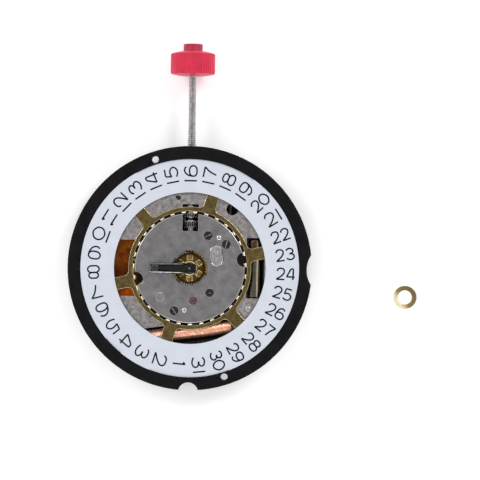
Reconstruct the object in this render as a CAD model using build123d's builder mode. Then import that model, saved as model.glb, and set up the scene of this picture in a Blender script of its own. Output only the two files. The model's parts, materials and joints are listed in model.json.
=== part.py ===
from build123d import *
from math import asin, atan2, copysign, cos, degrees, hypot, radians, sin
import os

# Quartz watch movement with centre seconds and a date ring, in millimetres.
# +Z is the dial side, +Y runs out along the stem, and z = 0 is the dial seat on the casing ring.
# The origin is on the axis of the hands.

# Casing ring
casing_radius = 12.8
casing_height = 2.0
casing_wall = 1.25
shelf_width = 0.55
lip_thickness = 0.05
lip_overhang = 0.13
lip_spans = ((65.3, 54.7), (11.0, 221.0), (43.0, 249.0))
side_notch_radius = 2.9
side_notch_depth = 0.55
foot_notch_radius = 1.05
foot_notch_depth = 0.83
dial_foot_radius = 0.37
dial_foot_inset = 0.4
dial_foot_angles = (108.4, 288.4)
casing_inner_radius = casing_radius - casing_wall
shelf_inner_radius = casing_inner_radius - shelf_width

# Scale of the plan: the lengths below that carry it follow the room inside the ring's shelf
shelf_inner_radius_share = 11.0
plan = shelf_inner_radius / shelf_inner_radius_share

# Heights of the dial side, counted down from the dial seat
disc_gap = 0.03
disc_thickness = 0.12
date_wheel_thickness = 0.16
date_wheel_gap = 0.06
cover_drop = 0.04
cover_thickness = 0.14
plate_thickness = 0.78
movement_height = 2.5

# Date ring
disc_side_gap = 0.06
disc_inner_radius = 7.9 * plan
date_count = 31
date_rim_radius = 6.44 * plan
date_root_radius = 6.02 * plan
date_tip_radius = 5.7 * plan
date_tooth_root_width = 0.5 * plan
date_tooth_tip_width = 0.26 * plan
date_band_inner = 8.3 * plan
date_band_outer = 9.1 * plan
date_arm_count = 6
date_arm_width = 1.3 * plan
date_arm_angle = 12.7
date_arm_fillet = 0.5 * plan

# Main plate
plate_clearance = 0.05
platform_radius = 5.5 * plan
pocket_clearance = 0.12
pocket_floor_gap = 0.02
plate_small_hole_radius = 0.27 * plan
plate_small_hole_place = (-1.31 * plan, 7.38 * plan)
plate_large_hole_radius = 0.62 * plan
plate_large_hole_place = (4.37 * plan, 6.22 * plan)
plate_slot_place = (-3.84 * plan, -5.37 * plan)
plate_slot_radius = 0.4 * plan

# Round steel cover plate
cover_radius = 5.76 * plan
cover_bevel = 0.06
cover_bore_radius = 1.88 * plan
cover_window_half_width = 0.82 * plan
cover_window_foot = 3.89 * plan
cover_right_notch_angle = 9.8
cover_left_notch_angle = 192.3
cover_notch_radius = 0.75 * plan
cover_recess_radius = 0.47 * plan
cover_recess_depth = 0.08
cover_recess_place = (-3.07 * plan, -3.06 * plan)
cover_screw_places = (
    (1.88 * plan, 3.44 * plan),
    (3.79 * plan, 2.55 * plan),
    (-1.58 * plan, -4.48 * plan),
)
cover_screw_head_radius = 0.43 * plan
cover_screw_head_height = 0.09
cover_screw_shank_radius = 0.2 * plan
cover_screw_length = 0.75
cover_pin_places = ((3.02 * plan, 3.24 * plan), (-0.49 * plan, -4.41 * plan))
cover_pin_radius = 0.27 * plan
cover_pin_length = 0.8
screw_slot_width = 0.12 * plan
screw_slot_depth = 0.05
screw_slot_angle = 25.0
screw_slot_step = 50.0
screw_clearance = 0.03
wheel_spring_place = (2.77 * plan, 1.32 * plan)
wheel_spring_size = (1.3 * plan, 2.2 * plan)
wheel_spring_tilt = 6.0
wheel_spring_thickness = 0.08
wheel_spring_rib = 0.04
wheel_spring_clearance = 0.05

# Toothing, as shares of the module or of the tooth pitch
addendum_share = 0.95
dedendum_share = 1.15
tooth_root_share = 0.3
tooth_tip_share = 0.13

# Motion work
hour_teeth = 40
minute_pinion_teeth = 10
hour_module = 0.085 * plan
cannon_teeth = 12
minute_teeth = 36
minute_angle = 30.0
minute_post_radius = 0.18 * plan
setting_teeth = 20
setting_post_radius = 0.25 * plan
hour_pinion_teeth = 16
date_driving_teeth = 32
date_driving_distance = 3.85 * plan
date_driving_angle = 192.3
date_driving_post_radius = 0.35 * plan
date_finger_reach = 1.99 * plan
date_finger_width = 0.36 * plan
date_finger_rest_angle = -75.0
running_clearance = 0.03
hour_pipe_radius = 0.75 * plan
hour_pipe_top = 0.98
hour_petal_count = 6
hour_petal_inner = 0.92 * plan
hour_petal_outer = 1.44 * plan
hour_petal_width = 0.6 * plan
hour_petal_depth = 0.06
cannon_radius = 0.45 * plan
cannon_slip_clearance = 0.01
cannon_top = 1.38
cannon_seat_radius = 0.43 * plan
cannon_seat_gap = 0.03
centre_arbor_radius = 0.27 * plan
centre_arbor_top = 1.1
seconds_arbor_radius = 0.1 * plan
seconds_arbor_top = 1.85
seconds_seat_radius = 0.09 * plan
hour_wheel_thickness = 0.12
hour_wheel_gap = 0.04
hour_pinion_height = 0.18
driving_wheel_thickness = 0.11
minute_wheel_thickness = 0.14
cannon_teeth_height = 0.2

# Going train
centre_teeth = 80
third_pinion_teeth = 10
third_teeth = 60
seconds_pinion_teeth = 8
seconds_teeth = 60
intermediate_pinion_teeth = 20
intermediate_teeth = 60
rotor_pinion_teeth = 6
third_distance = 2.8 * plan
third_angle = 15.5
intermediate_place = (2.12 * plan, -2.54 * plan)
rotor_place = (0.4 * plan, -3.39 * plan)
train_wheel_thickness = 0.1
train_wheel_gap = 0.14
train_top_gap = 0.08
train_pinion_margin = 0.02
train_arbor_radius = 0.12 * plan
pivot_radius = 0.06 * plan
pivot_clearance = 0.015
wheel_crossings = 5
crossing_inner_share = 0.36
crossing_outer_share = 0.78
crossing_arm_share = 0.13
centre_bush_radius = 0.58 * plan
jewel_radius = 0.42 * plan
jewel_thickness = 0.2
jewel_cup_radius = 0.2 * plan
jewel_cup_depth = 0.06
intermediate_jewel_drop = 0.22

# Step motor
magnet_radius = 0.5 * plan
magnet_height = 0.34
stator_hole_radius = 0.6 * plan
stator_thickness = 0.38
stator_coil_gap = 0.11
stator_leg_width = 0.85 * plan
stator_head_width = 1.8 * plan
stator_head_top = -2.65 * plan
stator_arm_top = -4.0 * plan
stator_leg_gap = 0.3 * plan
coil_place = (0.1 * plan, -6.7 * plan)
coil_tilt = 8.3
coil_length = 9.0 * plan
coil_radius = 0.72
coil_flange_radius = 0.74
coil_flange_thickness = 0.15 * plan
coil_core_width = 0.6 * plan
coil_core_height = 0.3
coil_core_length = 11.0 * plan
coil_opening_margin = 0.25
guard_length = 10.0 * plan
guard_thickness = 0.12
guard_wall_width = 0.2 * plan

# Battery and its contacts
battery_radius = 3.95 * plan
battery_height = 1.65
battery_place = (-6.95 * plan, -0.3 * plan)
battery_cap_radius = 3.3 * plan
battery_cap_height = 0.3
battery_gasket_width = 0.2 * plan
battery_clearance = 0.06
foil_thickness = 0.03
foil_margin = 0.25
contact_thickness = 0.05
contact_width = 1.1 * plan
contact_length = 5.4 * plan
battery_well_web = 0.04
left_window_size = (3.1 * plan, 5.9 * plan)
left_window_place = (-7.05 * plan, -0.05 * plan)
clamp_thickness = 0.1
clamp_width = 1.4 * plan
clamp_offset = 0.7 * plan
clamp_post_offset = 5.3 * plan
clamp_end_margin = 0.7 * plan
post_radius = 0.5 * plan
post_screw_head_radius = 0.45 * plan
post_screw_head_height = 0.09
post_screw_shank_radius = 0.22 * plan
post_screw_length = 0.9

# Circuit
board_thickness = 0.15
board_edge_radius = 10.8 * plan
board_inner_edge = 5.85 * plan
board_half_length = 6.3 * plan
board_post_places = ((8.9 * plan, 4.6 * plan), (8.9 * plan, -4.6 * plan))
module_cover_thickness = 0.15
module_cover_inset = 0.3 * plan
crystal_radius = 0.75 * plan
crystal_length = 6.0 * plan
crystal_place = (6.87 * plan, 0.09 * plan)
crystal_window_margin = (0.17, 0.17)
crystal_lead_radius = 0.09 * plan
crystal_lead_spread = 0.3 * plan
crystal_lead_length = 0.9 * plan
chip_radius = 0.9 * plan
chip_height = 0.4
chip_place = (9.2 * plan, 0.6 * plan)
trim_capacitor_size = (0.9, 1.6, 0.45)
trim_capacitor_place = (9.1 * plan, -2.2 * plan)

# Train bridge
bridge_thickness = 0.3
pillar_radius = 0.6 * plan
pillar_places = (
    (-1.9 * plan, 3.45 * plan),
    (5.0 * plan, 3.6 * plan),
    (4.9 * plan, -2.9 * plan),
    (-2.6 * plan, -3.2 * plan),
)
bridge_margin = 0.7 * plan
bridge_corner = 0.5 * plan
bridge_screw_head_radius = 0.45 * plan
bridge_screw_head_height = 0.12
bridge_screw_shank_radius = 0.22 * plan
bridge_screw_length = 0.9

# Stem, crown and keyless work
stem_drop = 1.25
stem_radius = 0.42
stem_clearance = 0.03
stem_thread_radius = 0.45
stem_thread_pitch = 0.225
stem_thread_depth = 0.11
stem_thread_start = 12.2 * plan
stem_thread_end = 21.9 * plan
stem_pilot_radius = 0.2
stem_pilot_tip = 2.65 * plan
stem_pilot_length = 1.3 * plan
stem_square = 0.5
stem_square_end = 6.3 * plan
stem_groove_radius = 0.2
stem_groove_width = 0.32 * plan
stem_bore_clearance = 0.08
crown_travel = 0.7 * plan
pinion_travel = 0.5 * plan
inner_bearing_span = (3.05 * plan, 3.45 * plan)
inner_bearing_width = 1.0 * plan
inner_bearing_depth = 0.4
keyless_slot_clearance = 0.12
keyless_slot_span = (3.5 * plan, 6.7 * plan)
keyless_channel_end = 7.75 * plan
stem_boss_width = 2.5 * plan
stem_boss_depth = 0.8
keyless_shield_thickness = 0.12
keyless_shield_radius = 10.7 * plan
keyless_shield_span = (-1.2 * plan, 4.1 * plan)
keyless_shield_foot = 3.6 * plan
keyless_shield_ear_width = 1.3 * plan
keyless_shield_ear_span = (4.4 * plan, 7.6 * plan)
sliding_pinion_radius = 0.73
sliding_pinion_span = (4.3 * plan, 5.75 * plan)
sliding_pinion_face_teeth = 12
sliding_pinion_face_height = 0.15
sliding_pinion_face_inner = 0.42
sliding_pinion_groove_radius = 0.5
sliding_pinion_groove_span = (4.95 * plan, 5.35 * plan)
sliding_pinion_flutes = 16
sliding_pinion_flute_radius = 0.07
sliding_pinion_clearance = 0.02
lever_thickness = 0.16
lever_gap = 0.03
lever_pivot_place = (1.69 * plan, 7.06 * plan)
lever_pivot_radius = 0.27 * plan
lever_eye_radius = 0.55 * plan
lever_arm_length = 1.37 * plan
lever_nose_width = 0.2 * plan
lever_tail_length = 1.15 * plan
lever_tail_turn = 150.0
lever_pin_head_radius = 0.42 * plan
lever_pin_head_height = 0.1
spring_width = 0.2 * plan
spring_anchor_place = (4.1 * plan, 5.0 * plan)
spring_anchor_radius = 0.5 * plan
spring_bend_place = (4.3 * plan, 7.9 * plan)
spring_tip_place = (3.25 * plan, 7.75 * plan)
yoke_span = (4.7 * plan, 7.6 * plan)
yoke_edges = (-2.1 * plan, -1.1 * plan)
yoke_tongue_span = (5.02 * plan, 5.28 * plan)
yoke_guide_places = ((-1.6 * plan, 5.5 * plan), (-1.6 * plan, 6.6 * plan))
yoke_guide_radius = 0.18 * plan
yoke_guide_head_radius = 0.34 * plan
yoke_guide_head_height = 0.1
yoke_slot_clearance = 0.03
stop_pivot_place = (-3.2 * plan, 4.2 * plan)
stop_pivot_radius = 0.2 * plan
stop_eye_radius = 0.42 * plan
stop_tip_place = (-2.3 * plan, 1.75 * plan)
stop_arm_width = 0.26 * plan
stop_tail_place = (-2.75 * plan, 5.6 * plan)
stop_thickness = 0.12
crown_radius = 2.335
crown_foot = 20.2 * plan
crown_length = 2.6
crown_dome = 0.3
crown_foot_dome = 0.2
crown_edge_fillet = 0.22
crown_flutes = 48
crown_flute_radius = 0.09
crown_cap_radius = 1.02
crown_cap_length = 0.75
crown_thread_clearance = 0.02

# Date jumper
jumper_anchor_place = (3.9 * plan, -2.0 * plan)
jumper_anchor_radius = 0.45 * plan
jumper_bend_place = (5.05 * plan, -0.8 * plan)
jumper_beak_reach = 5.92 * plan
jumper_width = 0.2 * plan
jumper_beak_depth = 0.82 * plan
jumper_beak_width = 0.88 * plan
jumper_pocket_inner = 3.3 * plan
jumper_pocket_start = -45.0
jumper_pocket_end = 24.0

# Seconds check hand
check_hand_low = 1.48
check_hand_thickness = 0.16
check_hand_length = 4.2 * plan
check_hand_tail = 0.7 * plan
check_hand_width = 1.05 * plan
check_hand_bevel = 0.1
check_hand_hub_radius = 0.37 * plan
check_hand_hub_height = 0.3
check_hand_fit = 0.006
check_rivet_distance = 3.58 * plan
check_rivet_radius = 0.4 * plan
check_rivet_height = 0.3

# Loose bowed dial washer
washer_place = (22.8 * plan, -2.8 * plan)
washer_outer_radius = 1.225 * plan
washer_bore_radius = 0.75 * plan
washer_thickness = 0.08
washer_bow_radius = 3.2 * plan
washer_bow_turn = 35.0

# Plate features seen beside the date wheel
side_pin_place = (6.15 * plan, -4.19 * plan)
side_pin_radius = 0.27 * plan
side_pin_height = 0.05

# One overrun for every cut that runs out of its piece
overrun = 0.5

# Heights worked out from the stack
disc_top = -(lip_thickness + disc_gap)
disc_foot = disc_top - disc_thickness
date_foot = disc_foot - date_wheel_thickness
plate_top = date_foot - date_wheel_gap
plate_foot = plate_top - plate_thickness
cover_top = -cover_drop
cover_foot = cover_top - cover_thickness
disc_outer_radius = casing_inner_radius - disc_side_gap
dial_foot_circle = casing_inner_radius + dial_foot_inset
shelf_top = plate_foot
plate_radius = casing_inner_radius - plate_clearance
stem_axis = -stem_drop
bridge_foot = -movement_height
bridge_top = bridge_foot + bridge_thickness
hour_wheel_top = cover_foot - hour_wheel_gap
hour_wheel_foot = hour_wheel_top - hour_wheel_thickness
hour_pinion_foot = hour_wheel_foot - hour_pinion_height
driving_wheel_foot = hour_pinion_foot + pocket_floor_gap / 2
driving_wheel_top = driving_wheel_foot + driving_wheel_thickness
upper_pocket_floor = hour_wheel_foot - pocket_floor_gap
middle_pocket_floor = hour_pinion_foot - pocket_floor_gap / 2
cannon_teeth_top = hour_pinion_foot - running_clearance
cannon_teeth_foot = cannon_teeth_top - cannon_teeth_height
minute_wheel_foot = cannon_teeth_foot + train_pinion_margin
minute_wheel_top = minute_wheel_foot + minute_wheel_thickness
lower_pocket_floor = cannon_teeth_foot - pocket_floor_gap
lever_top = plate_foot - lever_gap
lever_foot = lever_top - lever_thickness

# Bores and slots worked out from what runs in them
hour_pipe_bore_radius = cannon_radius + running_clearance
cannon_bore_radius = centre_arbor_radius + cannon_slip_clearance
centre_arbor_bore_radius = seconds_arbor_radius + running_clearance
keyless_slot_width = 2 * (sliding_pinion_radius + keyless_slot_clearance)
yoke_tongue_reach = -(sliding_pinion_groove_radius + running_clearance)

# Places of the motion work, from the tooth counts
minute_distance = hour_module * (hour_teeth + minute_pinion_teeth) / 2
cannon_module = 2 * minute_distance / (cannon_teeth + minute_teeth)
driving_module = 2 * date_driving_distance / (hour_pinion_teeth + date_driving_teeth)
setting_distance = cannon_module * (minute_teeth + setting_teeth) / 2


def polar(radius, angle):
    """The point at a radius and an angle in degrees."""
    return (radius * cos(radians(angle)), radius * sin(radians(angle)))


def heading(start, end):
    """The angle in degrees from one place to another."""
    return degrees(atan2(end[1] - start[1], end[0] - start[0]))


def span(start, end):
    """The distance between two places."""
    return hypot(end[0] - start[0], end[1] - start[1])


centre_place = (0, 0)
minute_place = polar(minute_distance, minute_angle)
setting_rise = (setting_distance**2 - minute_place[0] ** 2) ** 0.5
setting_place = (0, minute_place[1] + setting_rise)
driving_place = polar(date_driving_distance, date_driving_angle)
third_place = polar(third_distance, third_angle)

# Levels of the going train, counted down from the underside of the main plate
level_step = train_wheel_thickness + train_wheel_gap
centre_level = plate_foot - train_top_gap - train_wheel_thickness
third_level = centre_level - level_step
seconds_level = third_level - level_step
intermediate_level = seconds_level - level_step + train_wheel_gap / 3
centre_module = 2 * third_distance / (centre_teeth + third_pinion_teeth)
third_module = 2 * third_distance / (third_teeth + seconds_pinion_teeth)
seconds_reach = span(centre_place, intermediate_place)
seconds_module = 2 * seconds_reach / (seconds_teeth + intermediate_pinion_teeth)
rotor_reach = span(rotor_place, intermediate_place)
rotor_module = 2 * rotor_reach / (intermediate_teeth + rotor_pinion_teeth)

upward = (Align.CENTER, Align.CENTER, Align.MIN)


def level(height, place=(0, 0)):
    """A horizontal plane at a height, with its origin at a place."""
    return Plane(origin=(place[0], place[1], height))


def tip_radius(teeth, module):
    """The outer radius of a toothed rim."""
    return module * (teeth / 2 + addendum_share)


def toothed(teeth, module, first, place, low, high):
    """A toothed disc between two heights, with a tooth centred at the first angle."""
    pitch = 360 / teeth
    root = module * (teeth / 2 - dedendum_share)
    tip = tip_radius(teeth, module)
    flank = (
        (-tooth_root_share, root),
        (-tooth_tip_share, tip),
        (tooth_tip_share, tip),
        (tooth_root_share, root),
    )
    corners = []
    for tooth in range(teeth):
        for shift, radius in flank:
            corners.append(polar(radius, first + (tooth + shift) * pitch))
    with BuildPart() as disc:
        with BuildSketch(level(low, place)):
            with BuildLine():
                Polyline(*corners, close=True)
            make_face()
        extrude(amount=high - low)
    return disc.part


def crossed(rim_radius, place, low, high):
    """The windows between the arms of a train wheel, as a tool that cuts them."""
    inner = rim_radius * crossing_inner_share
    outer = rim_radius * crossing_outer_share
    half_arm = rim_radius * crossing_arm_share / 2
    turn = 360 / wheel_crossings
    near = degrees(asin(half_arm / inner))
    far = degrees(asin(half_arm / outer))
    with BuildPart() as windows:
        with BuildSketch(level(low, place)):
            with BuildLine():
                first = polar(inner, near)
                second = polar(outer, far)
                third = polar(outer, turn - far)
                fourth = polar(inner, turn - near)
                Line(first, second)
                ThreePointArc(second, polar(outer, turn / 2), third)
                Line(third, fourth)
                ThreePointArc(fourth, polar(inner, turn / 2), first)
            make_face()
        extrude(amount=high - low)
    with BuildPart() as ring:
        for arm in range(wheel_crossings):
            add(windows.part.rotate(Axis(origin=(*place, 0), direction=(0, 0, 1)), arm * turn))
    return ring.part


def turned(sections, place):
    """A turned piece on an upright axis, given as (low, high, radius) lengths."""
    with BuildPart() as shaft:
        for low, high, radius in sections:
            with Locations((*place, low)):
                Cylinder(radius, high - low, align=upward)
    return shaft.part


def meshed(teeth, first, mate_teeth, towards):
    """The first tooth angle of a mate that lies in the given direction from a toothed wheel."""
    behind = (towards - first) % (360 / teeth)
    return towards + 180 + behind * teeth / mate_teeth + 180 / mate_teeth


def slotted_screws(places, head_radius, head_top, head_height, shank_radius, length, downwards=True):
    """Cheese-head screws at several places, heads up or down, each with its slot."""
    side = -1 if downwards else 1
    with BuildPart() as screws:
        for number, place in enumerate(places):
            with Locations((*place, head_top + side * head_height / 2)):
                Cylinder(head_radius, head_height)
            with Locations((*place, head_top + side * (head_height + length) / 2)):
                Cylinder(shank_radius, length + head_height)
            slot_angle = screw_slot_angle + number * screw_slot_step
            with Locations(Location((*place, head_top), (0, 0, slot_angle))):
                Box(2 * head_radius + overrun, screw_slot_width, 2 * screw_slot_depth, mode=Mode.SUBTRACT)
    return screws.part


def strip(points, width, low, high, ends):
    """A flat bar that runs through points, with round ends of the given radii."""
    with BuildPart() as bar:
        for start, end in zip(points, points[1:]):
            middle = ((start[0] + end[0]) / 2, (start[1] + end[1]) / 2)
            with BuildSketch(Plane(origin=(*middle, low)).rotated((0, 0, heading(start, end)))):
                SlotOverall(span(start, end) + width, width)
            extrude(amount=high - low)
        for place, radius in zip((points[0], points[-1]), ends):
            with Locations((*place, low)):
                Cylinder(max(radius, width / 2), high - low, align=upward)
    return bar.part


# Casing ring with its shelf, dial-foot holes, lips and notches
with BuildPart() as casing_ring:
    with BuildSketch(level(-casing_height)):
        Circle(casing_radius)
        Circle(casing_inner_radius, mode=Mode.SUBTRACT)
    extrude(amount=casing_height)
    with BuildSketch(level(-casing_height)):
        Circle(casing_inner_radius)
        Circle(shelf_inner_radius, mode=Mode.SUBTRACT)
    extrude(amount=casing_height + shelf_top)
    for sweep, start in lip_spans:
        inner = casing_inner_radius - lip_overhang
        with BuildSketch(level(-lip_thickness)):
            with BuildLine():
                Line(polar(inner, start), polar(casing_inner_radius, start))
                ThreePointArc(
                    polar(casing_inner_radius, start),
                    polar(casing_inner_radius, start + sweep / 2),
                    polar(casing_inner_radius, start + sweep),
                )
                Line(polar(casing_inner_radius, start + sweep), polar(inner, start + sweep))
                ThreePointArc(
                    polar(inner, start + sweep),
                    polar(inner, start + sweep / 2),
                    polar(inner, start),
                )
            make_face()
        extrude(amount=lip_thickness)
    with Locations((casing_radius - side_notch_depth + side_notch_radius, 0, -casing_height / 2)):
        Cylinder(side_notch_radius, casing_height + overrun, mode=Mode.SUBTRACT)
    with Locations((0, -(casing_radius - foot_notch_depth + foot_notch_radius), -casing_height / 2)):
        Cylinder(foot_notch_radius, casing_height + overrun, mode=Mode.SUBTRACT)
    for angle in dial_foot_angles:
        with Locations((*polar(dial_foot_circle, angle), -casing_height / 2)):
            Cylinder(dial_foot_radius, casing_height + overrun, mode=Mode.SUBTRACT)
    with BuildSketch(Plane.XZ.offset(-(shelf_inner_radius - overrun))):
        with Locations((0, stem_axis)):
            Circle(stem_thread_radius + stem_bore_clearance)
    extrude(amount=-(casing_wall + shelf_width + 2 * overrun), mode=Mode.SUBTRACT)
    boss_room = stem_boss_width + 2 * plate_clearance
    with Locations((0, shelf_inner_radius, -casing_height)):
        Box(boss_room, 2 * shelf_width, casing_height + shelf_top, align=upward, mode=Mode.SUBTRACT)
casing_ring.part.label = "casing_ring"

# Main plate: disc and platform, with pockets for the motion work, wells, posts and pillars
driving_pocket = max(tip_radius(date_driving_teeth, driving_module), date_finger_reach) + pocket_clearance
minute_pocket = tip_radius(minute_teeth, cannon_module) + pocket_clearance
setting_pocket = tip_radius(setting_teeth, cannon_module) + pocket_clearance
cannon_pocket = tip_radius(cannon_teeth, cannon_module) + pocket_clearance
hour_pinion_pocket = tip_radius(hour_pinion_teeth, driving_module) + pocket_clearance
hour_pocket = tip_radius(hour_teeth, hour_module) + pocket_clearance
pockets = (
    (centre_place, hour_pocket, upper_pocket_floor),
    (driving_place, driving_pocket, middle_pocket_floor),
    (centre_place, hour_pinion_pocket, middle_pocket_floor),
    (minute_place, minute_pocket, lower_pocket_floor),
    (setting_place, setting_pocket, lower_pocket_floor),
    (centre_place, cannon_pocket, lower_pocket_floor),
)
posts = (
    (driving_place, date_driving_post_radius, middle_pocket_floor, hour_wheel_top),
    (minute_place, minute_post_radius, lower_pocket_floor, hour_wheel_top),
    (setting_place, setting_post_radius, lower_pocket_floor, minute_wheel_top),
)
well_ceiling = middle_pocket_floor - battery_well_web
battery_top = well_ceiling - foil_thickness - contact_thickness
battery_foot = battery_top - battery_height
clamp_foot = battery_foot - clamp_thickness
clamp_post_places = (
    (battery_place[0] + clamp_offset, battery_place[1] + clamp_post_offset),
    (battery_place[0] + clamp_offset, battery_place[1] - clamp_post_offset),
)
crystal_axis = plate_top - date_wheel_gap - crystal_radius
board_top = crystal_axis - crystal_radius
board_foot = board_top - board_thickness
coil_axis = plate_top - coil_flange_radius
core_foot = coil_axis - coil_core_height / 2
coil_room = 2 * (coil_flange_radius + coil_opening_margin)
plate_jewel_places = (rotor_place, intermediate_place)
plate_jewel_feet = (cover_foot - jewel_thickness, cover_foot - jewel_thickness - intermediate_jewel_drop)
through = plate_thickness + 2 * overrun
with BuildPart() as main_plate:
    with BuildSketch(level(plate_foot)):
        Circle(plate_radius)
    extrude(amount=plate_thickness)
    with BuildSketch(level(plate_foot)):
        Circle(platform_radius)
    extrude(amount=cover_foot - plate_foot)
    for place, radius, floor in pockets:
        with Locations((*place, floor)):
            Cylinder(radius, cover_foot - floor + overrun, align=upward, mode=Mode.SUBTRACT)
    for place, radius, low, high in posts:
        with Locations((*place, low)):
            Cylinder(radius, high - low, align=upward)
    jumper_pocket_outer = platform_radius + overrun
    jumper_pocket_middle = (jumper_pocket_start + jumper_pocket_end) / 2
    with BuildSketch(level(upper_pocket_floor)):
        with BuildLine():
            pocket_first = polar(jumper_pocket_inner, jumper_pocket_start)
            pocket_second = polar(jumper_pocket_outer, jumper_pocket_start)
            pocket_third = polar(jumper_pocket_outer, jumper_pocket_end)
            pocket_fourth = polar(jumper_pocket_inner, jumper_pocket_end)
            Line(pocket_first, pocket_second)
            ThreePointArc(pocket_second, polar(jumper_pocket_outer, jumper_pocket_middle), pocket_third)
            Line(pocket_third, pocket_fourth)
            ThreePointArc(pocket_fourth, polar(jumper_pocket_inner, jumper_pocket_middle), pocket_first)
        make_face()
    extrude(amount=cover_foot - upper_pocket_floor + overrun, mode=Mode.SUBTRACT)
    with Locations((*jumper_anchor_place, upper_pocket_floor)):
        Cylinder(cover_screw_shank_radius, cover_foot - upper_pocket_floor, align=upward)
    well_height = well_ceiling - plate_foot + overrun
    with Locations((*battery_place, plate_foot - overrun)):
        Cylinder(battery_radius + battery_clearance, well_height, align=upward, mode=Mode.SUBTRACT)
    window_height = plate_top - well_ceiling + 2 * overrun
    with Locations((*left_window_place, well_ceiling - overrun)):
        Box(*left_window_size, window_height, align=upward, mode=Mode.SUBTRACT)
    crystal_room = (
        2 * (crystal_radius + crystal_window_margin[0]),
        crystal_length + 2 * crystal_window_margin[1],
    )
    with Locations((*crystal_place, plate_foot - overrun)):
        Box(*crystal_room, through, align=upward, mode=Mode.SUBTRACT)
    with BuildSketch(Plane(origin=(*coil_place, plate_foot - overrun)).rotated((0, 0, coil_tilt))):
        Rectangle(coil_core_length + coil_opening_margin, coil_room)
    extrude(amount=through, mode=Mode.SUBTRACT)
    slot_length = keyless_slot_span[1] - keyless_slot_span[0]
    with Locations((0, keyless_slot_span[0] + slot_length / 2, plate_foot - overrun)):
        Box(keyless_slot_width, slot_length, through, align=upward, mode=Mode.SUBTRACT)
    channel_middle = (keyless_slot_span[1] + keyless_channel_end) / 2
    channel_length = keyless_channel_end - keyless_slot_span[1]
    channel_height = stem_axis + stem_radius + stem_clearance - plate_foot
    with Locations((0, channel_middle, plate_foot - overrun)):
        Box(
            keyless_slot_width,
            channel_length,
            channel_height + overrun,
            align=upward,
            mode=Mode.SUBTRACT,
        )
    boss_length = plate_radius - keyless_channel_end
    with BuildSketch(level(plate_foot - stem_boss_depth)):
        with Locations((0, keyless_channel_end + boss_length / 2)):
            Rectangle(stem_boss_width, boss_length)
        Circle(plate_radius, mode=Mode.INTERSECT)
    extrude(amount=stem_boss_depth)
    bearing_length = inner_bearing_span[1] - inner_bearing_span[0]
    with Locations((0, inner_bearing_span[0] + bearing_length / 2, plate_foot - inner_bearing_depth)):
        Box(inner_bearing_width, bearing_length, inner_bearing_depth, align=upward)
    with BuildSketch(Plane.XZ.offset(-keyless_channel_end + overrun)):
        with Locations((0, stem_axis)):
            Circle(stem_radius + stem_clearance)
    extrude(amount=-(boss_length + 2 * overrun), mode=Mode.SUBTRACT)
    with BuildSketch(Plane.XZ.offset(-stem_pilot_tip + pocket_clearance)):
        with Locations((0, stem_axis)):
            Circle(stem_pilot_radius + pocket_floor_gap)
    extrude(amount=-(keyless_slot_span[0] - stem_pilot_tip + overrun), mode=Mode.SUBTRACT)
    for place in pillar_places:
        with Locations((*place, bridge_top)):
            Cylinder(pillar_radius, plate_foot - bridge_top, align=upward)
        with Locations((*place, bridge_top)):
            Cylinder(bridge_screw_shank_radius, bridge_screw_length, align=upward, mode=Mode.SUBTRACT)
    for place in clamp_post_places:
        with Locations((*place, battery_foot)):
            Cylinder(post_radius, plate_foot - battery_foot, align=upward)
        with Locations((*place, battery_foot)):
            Cylinder(post_screw_shank_radius, post_screw_length, align=upward, mode=Mode.SUBTRACT)
    for place in board_post_places:
        with Locations((*place, board_top)):
            Cylinder(post_radius, plate_foot - board_top, align=upward)
        with Locations((*place, board_top)):
            Cylinder(post_screw_shank_radius, post_screw_length, align=upward, mode=Mode.SUBTRACT)
    for place in cover_screw_places:
        with Locations((*place, cover_foot - cover_screw_length)):
            Cylinder(cover_screw_shank_radius, through, align=upward, mode=Mode.SUBTRACT)
    for place in cover_pin_places:
        with Locations((*place, cover_top - cover_pin_length)):
            Cylinder(cover_pin_radius, cover_pin_length + overrun, align=upward, mode=Mode.SUBTRACT)
    with Locations((0, 0, plate_foot - overrun)):
        Cylinder(centre_bush_radius, through, align=upward, mode=Mode.SUBTRACT)
    arbor_hole_radius = train_arbor_radius + running_clearance
    for place, foot in zip(plate_jewel_places, plate_jewel_feet):
        with Locations((*place, plate_foot - overrun)):
            Cylinder(arbor_hole_radius, through, align=upward, mode=Mode.SUBTRACT)
        with Locations((*place, foot)):
            Cylinder(jewel_radius, jewel_thickness + overrun, align=upward, mode=Mode.SUBTRACT)
    with Locations((*third_place, plate_foot - overrun)):
        Cylinder(arbor_hole_radius, overrun + plate_thickness / 3, align=upward, mode=Mode.SUBTRACT)
    with Locations((*lever_pivot_place, plate_foot - overrun)):
        Cylinder(lever_pivot_radius, through, align=upward, mode=Mode.SUBTRACT)
    with Locations((*side_pin_place, plate_foot - overrun)):
        Cylinder(side_pin_radius, through, align=upward, mode=Mode.SUBTRACT)
    with Locations((*plate_small_hole_place, plate_foot - overrun)):
        Cylinder(plate_small_hole_radius, through, align=upward, mode=Mode.SUBTRACT)
    with Locations((*plate_large_hole_place, plate_foot - overrun)):
        Cylinder(plate_large_hole_radius, through, align=upward, mode=Mode.SUBTRACT)
    with Locations((*plate_slot_place, plate_foot - overrun)):
        Cylinder(plate_slot_radius, through, align=upward, mode=Mode.SUBTRACT)
    for place in yoke_guide_places:
        with Locations((*place, plate_foot - overrun)):
            Cylinder(yoke_guide_radius, plate_thickness / 2 + overrun, align=upward, mode=Mode.SUBTRACT)
    with Locations((*spring_anchor_place, plate_foot - overrun)):
        Cylinder(post_screw_shank_radius, plate_thickness / 2 + overrun, align=upward, mode=Mode.SUBTRACT)
    with Locations((*stop_pivot_place, seconds_level - stop_thickness)):
        Cylinder(stop_pivot_radius, plate_foot - seconds_level + stop_thickness, align=upward)
main_plate.part.label = "main_plate"

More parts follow.
